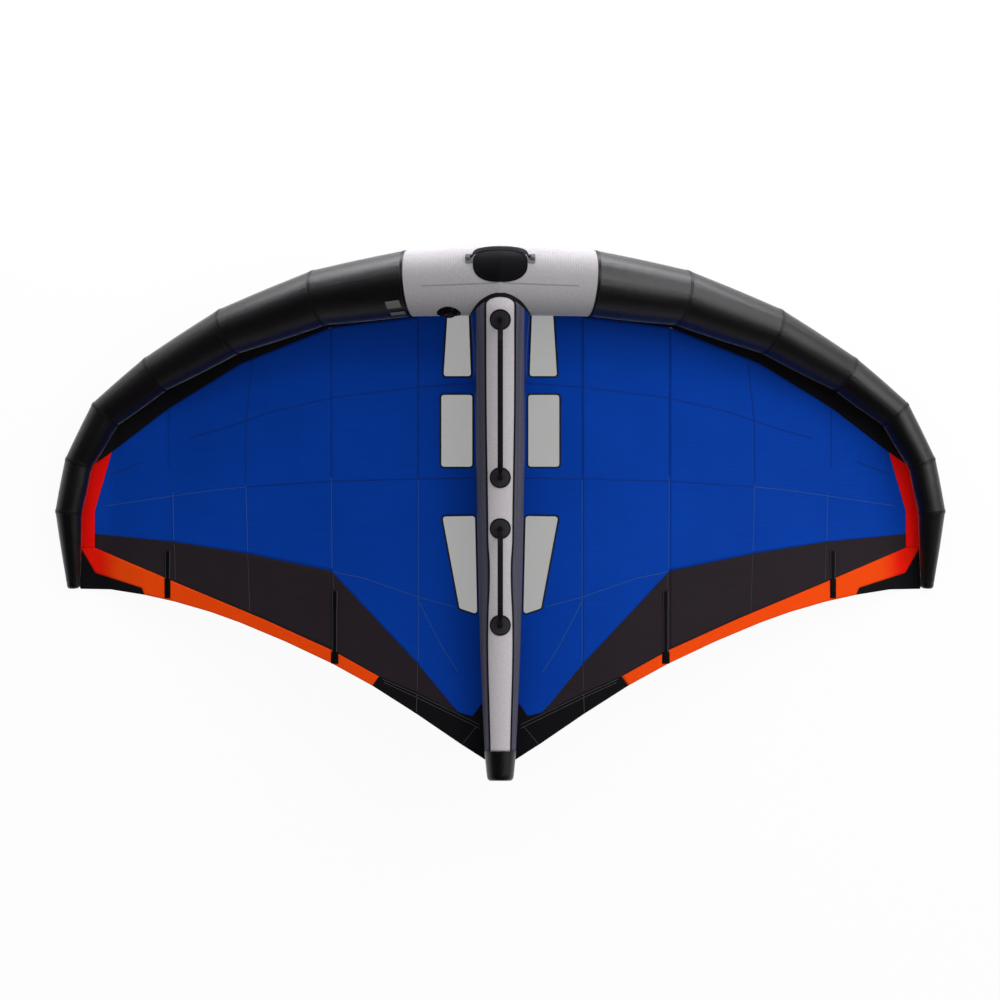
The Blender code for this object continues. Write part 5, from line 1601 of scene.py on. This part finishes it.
base = lathe(((0.0, -0.004, 0), (0.0155, -0.004, 0), (0.016, -0.0036, 0), (0.016, 0.0036, 0),
              (0.0164, 0.004, 0), (0.0215, 0.004, 0), (0.022, 0.0035, 0), (0.022, 0.0022, 0),
              (0.0225, 0.0017, 0), (0.027, 0.0015, 0), (0.0272, 0.0022, 0), (0.0285, 0.0022, 0),
              (0.0287, 0.0013, 0), (0.0325, 0.0008, 0), (0.033, 0.0002, 0), (0.033, -0.01, 0),
              (0.0, -0.01, 0)))
hinge = superellipsoid(valve_origin + np.array((0.0255, 0.0, 0.0052)) @ valve_axes, valve_axes,
                       (0.0022, 0.005, 0.0028), 0.6, 13)
piece("moulded_valve_base", [base, hinge], valve_plastic, "valve_base")
cap = lathe(((0.0, 0.0098, 0), (0.006, 0.0098, 0), (0.0068, 0.0092, 0), (0.0135, 0.0092, 0),
             (0.0143, 0.0100, 0), (0.0205, 0.0103, 0), (0.022, 0.0098, 1), (0.0228, 0.0088, 1),
             (0.0229, 0.0058, 1), (0.0224, 0.0045, 1), (0.0216, 0.0043, 0), (0.0151, 0.0043, 0),
             (0.015, 0.0005, 0), (0.0, 0.0003, 0)), flutes=24, depth=0.0009)
piece("moulded_valve_cap", [cap], valve_plastic, "valve_cap", "cap")

# %% [markdown]
# ## The bladders
# Under the sleeves lie the airtight bladders. Only a sliver shows, through the valve's hole, but
# they are whole: each ring of the sleeve, drawn in towards the tube's axis by a few millimetres.

# %% Bladders
BLADDER_INSET = 0.004
rings = np.stack([kink_ring(kink) for kink in range(len(axis))])[:, ::4]
rings = axis[:, None] + (rings - axis[:, None]) * (1 - BLADDER_INSET / radii)[:, None, None]
whole = np.concatenate((mirrored(rings)[:0:-1], rings))
spine = np.concatenate((mirrored(axis)[:0:-1], axis))[:, None]
ends = [np.broadcast_to(spine[row], whole[0].shape)[None] for row in (0, -1)]
piece("blown_leading_edge_bladder", [np.concatenate((ends[0], whole, ends[1]))], bladder_film,
      "leading_edge_bladder")
part = np.linspace(0, 1, 41)[:, None]
inner_turns = strut_turns[None, ::4]
line = 0.66 * (1 - part) + (STRUT_END + BLADDER_INSET) * part
body = on_strut(inner_turns, line, -BLADDER_INSET)
front_pole = np.broadcast_to(body[:1].mean(axis=1, keepdims=True), body[:1].shape)
rear_pole = np.broadcast_to(body[-1:].mean(axis=1, keepdims=True), body[:1].shape)
neck_y = np.array((0.725, 0.725, 0.65, 0.65))[:, None]
neck_out = np.array((0.0, 0.009, 0.009, 0.0))[:, None]
neck_turn = np.linspace(0, 2 * np.pi, 25)[None, :]
neck = np.stack(np.broadcast_arrays(neck_out * np.sin(neck_turn), neck_y,
                                    axis[0, 2] + neck_out * np.cos(neck_turn)), axis=-1)
piece("blown_strut_bladder", [np.concatenate((front_pole, body, rear_pole)), neck], bladder_film,
      "strut_bladder")

# %% [markdown]
# ## The battens' pockets
# Near the tail four stiff battens lie in black pockets sewn on the canopy. A pocket is a low
# arch across, flat at both hems, with a wider head where the batten goes in. The battens inside
# keep their CAD shape, which is a plain flat bar, and get a plastic finish.

# %% Pockets and battens
pocket_shares = {"outer": (0.747, 0.572, 0.655), "inner": (0.371, 0.647, 0.777)}
POCKET_HALF = 0.0118
POCKET_RISE = 0.0042
POCKET_FOOT = {"outer": 0.06, "inner": 0.3}
POCKET_TAIL = 0.010


def pocket_finish():
    """Black over the orange band; ahead of it charcoal with a dark channel. Along is metres ahead of
    the band's edge, across metres from the pocket's left hem."""
    made = Finish("batten_pocket_cloth", Roughness=0.55, Specular_IOR_Level=0.04)
    place, across, along = made.flat_cloth()
    off = abs(across - POCKET_HALF)
    channel = off.between(0.0072, 0.0056)
    thread = abs(off - 0.0085).between(0.0013, 0.0007) * abs(along.cell(0.007)).between(0.47, 0.40)
    cloud = made.noise(place, 30.0, 3.0)
    ahead = along.between(-0.001, 0.001)
    black = made.mix((0.0022, 0.002, 0.0024), (0.0034, 0.0032, 0.0036), cloud)
    grey = made.mix((0.014, 0.011, 0.014), (0.02, 0.016, 0.02), cloud)
    cloth = made.mix(black, made.mix(grey, black, channel), ahead)
    made.give("Base Color", made.mix(cloth, (0.075, 0.07, 0.075, 1.0), thread * ahead * 0.8))
    made.give("Roughness", cloud * 0.15 + 0.48)
    made.bump(channel + thread * 0.8 + cloud * 0.3, MILLIMETRE * 0.5, 0.7)
    return made.material


pocket_cloth = pocket_finish()
band_edges = {"outer": straight(orange_top[::-1], 0.747 * HALF_SPAN),
              "inner": straight(orange_top[::-1], 0.371 * HALF_SPAN)}
for word, side in SIDES:
    for level, (place, first, last) in pocket_shares.items():
        start, end = plans(((place, first), (place, last)))
        across = np.linspace(-1, 1, 25)[None, :]
        y = np.linspace(start[1], end[1] - POCKET_TAIL, 61)[:, None]
        arch = ease(1.0, 0.5, np.abs(across))
        head = ease(start[1] - 0.075, start[1] - 0.045, y)
        foot = ease(band_edges[level] + 0.006, band_edges[level] - 0.006, y)
        close = ease(end[1], end[1] + 0.012, y) * 0.5 + 0.5
        lift = LAY_GAP + 0.0008 + POCKET_RISE * arch * close + head * 0.0008 * arch
        x = start[0] + across * POCKET_HALF * (0.86 + 0.14 * head + POCKET_FOOT[level] * foot)
        flat = np.stack(np.broadcast_arrays(x, y), axis=-1)
        points = on_side(on_canopy(flat, lift), side)
        uv = np.stack(np.broadcast_arrays((across + 1) * POCKET_HALF, y - band_edges[level]), axis=-1)
        node = f"batten_pocket_{level}_{word}"
        made = piece(f"sewn_{node}", [(points, uv)], pocket_cloth, node, upward=True,
                     wall=0.0007)
        declare_sheet(points)
for name, made in frame["nodes"].items():
    if name.startswith("batten_") and "pocket" not in name:
        made.data.materials.clear()
        made.data.materials.append(batten_plastic)
print("pockets:", 2 * len(pocket_shares))

# %% [markdown]
# ## The camera, the light and the floor
# The camera looks straight down through a long lens, as for a catalogue picture. A broad light
# stands at the right, and two strips before the nose, one low and one high. The world fills in
# evenly, so that a colour is seen about as it is written. To the camera the room is white, and so
# is the floor, which keeps the shadow. A shiny surface sees them too, with a dark ceiling and rear.

# %% Camera
CAMERA_DISTANCE = 100.0
FRAME_WIDTH = 3.64
camera_data = bpy.data.cameras.new("camera")
camera_data.sensor_width = 36
camera_data.lens = 36 * (CAMERA_DISTANCE - 0.3) / FRAME_WIDTH
camera_data.clip_end = 4 * CAMERA_DISTANCE
camera = bpy.data.objects.new("camera", camera_data)
camera.location = (-0.0011, 0.0455, CAMERA_DISTANCE)
bpy.context.scene.collection.objects.link(camera)
bpy.context.scene.camera = camera
bpy.context.scene.view_settings.view_transform = "Standard"


# %% Lights and world
def softbox(name, place, target, size, power, colour=(1.0, 1.0, 1.0)):
    """A rectangular light at a place, turned to a target."""
    light = bpy.data.lights.new(name, "AREA")
    light.shape = "RECTANGLE"
    light.size, light.size_y = size
    light.energy = power
    light.color = colour
    made = bpy.data.objects.new(name, light)
    bpy.context.scene.collection.objects.link(made)
    way = unit(np.asarray(target, float) - np.asarray(place, float))
    side = unit(np.cross(way, (0.0, 0.0, 1.0) if abs(way[2]) < 0.99 else (0.0, 1.0, 0.0)))
    high = np.cross(side, way)
    turned = np.eye(4)
    turned[:3, 0], turned[:3, 1], turned[:3, 2], turned[:3, 3] = side, high, -way, place
    made.matrix_world = Matrix(turned.tolist())
    return made


softbox("key_right", (6.6, 3.6, 5.4), (0.0, 0.0, 0.3), (6.5, 6.5), 530)
softbox("front_low", (0.0, 1.95, 0.23), (0.0, 0.9, 0.40), (4.6, 0.46), 62, (0.96, 0.95, 1.0))
softbox("front_high", (0.0, 5.0, 5.0), (0.0, 0.6, 0.4), (9.0, 1.2), 130, (0.98, 0.97, 1.0))

world = bpy.data.worlds.new("studio")
world.use_nodes = True
bpy.context.scene.world = world
nodes, links = world.node_tree.nodes, world.node_tree.links
sky = nodes["Background"]
path = nodes.new("ShaderNodeLightPath")
facing = nodes.new("ShaderNodeTexCoord")
parts = nodes.new("ShaderNodeSeparateXYZ")
ceiling = nodes.new("ShaderNodeMapRange")
ceiling.interpolation_type = "SMOOTHSTEP"
ahead = nodes.new("ShaderNodeMapRange")
ahead.interpolation_type = "SMOOTHSTEP"
walls = nodes.new("ShaderNodeMath")
walls.operation = "MULTIPLY"
seen = nodes.new("ShaderNodeMath")
seen.operation = "MAXIMUM"
plain = nodes.new("ShaderNodeMix")
mirrored_room = nodes.new("ShaderNodeMix")
links.new(facing.outputs["Generated"], parts.inputs[0])
links.new(parts.outputs["Z"], ceiling.inputs[0])
links.new(parts.outputs["Y"], ahead.inputs[0])
for socket, value in zip(ceiling.inputs[1:5], (0.0, 0.3, 1.0, 0.05)):
    socket.default_value = value
for socket, value in zip(ahead.inputs[1:5], (-0.1, 0.4, 0.2, 1.0)):
    socket.default_value = value
links.new(ceiling.outputs[0], walls.inputs[0])
links.new(ahead.outputs[0], walls.inputs[1])
links.new(path.outputs["Is Camera Ray"], seen.inputs[0])
links.new(path.outputs["Is Transmission Ray"], seen.inputs[1])
plain.inputs[2].default_value = 0.52
plain.inputs[3].default_value = 1.0
links.new(seen.outputs[0], plain.inputs[0])
links.new(plain.outputs[0], mirrored_room.inputs[2])
links.new(walls.outputs[0], mirrored_room.inputs[3])
links.new(path.outputs["Is Glossy Ray"], mirrored_room.inputs[0])
links.new(mirrored_room.outputs[0], sky.inputs["Strength"])
sky.inputs["Color"].default_value = (1.0, 1.0, 1.0, 1.0)

# %% Floor
FLOOR_HALF = 60.0
floor_finish = Finish("studio_floor", Roughness=0.9)
floor_finish.give("Base Color", (0.8, 0.8, 0.8, 1.0))
path = floor_finish.node("ShaderNodeLightPath", {}, {})
rays = path.socket.node.outputs
glossy = Signal(floor_finish, rays["Is Glossy Ray"])
through = Signal(floor_finish, rays["Is Transmission Ray"])
seen = path.most(glossy).most(through)
glow = floor_finish.node("ShaderNodeEmission", {}, {"Color": (1.0, 1.0, 1.0, 1.0), "Strength": 1.0})
lit = Signal(floor_finish, floor_finish.shader.outputs[0])
both = floor_finish.node("ShaderNodeMixShader", {}, {0: seen * 0.94, 1: lit, 2: glow})
surface_end = floor_finish.tree.nodes["Material Output"].inputs["Surface"]
floor_finish.tree.links.new(both.socket, surface_end)
span = np.linspace(-FLOOR_HALF, FLOOR_HALF, 3)
floor_x, floor_y = np.meshgrid(span, span)
floor_points = np.stack((floor_x, floor_y, np.full_like(floor_x, -0.002)), axis=-1)
floor_mesh = bpy.data.meshes.new("floor")
floor_mesh.from_pydata(floor_points.reshape(-1, 3).tolist(), [], grid_faces(3, 3, 0).tolist())
floor_mesh.materials.append(floor_finish.material)
floor = bpy.data.objects.new("floor", floor_mesh)
bpy.context.scene.collection.objects.link(floor)
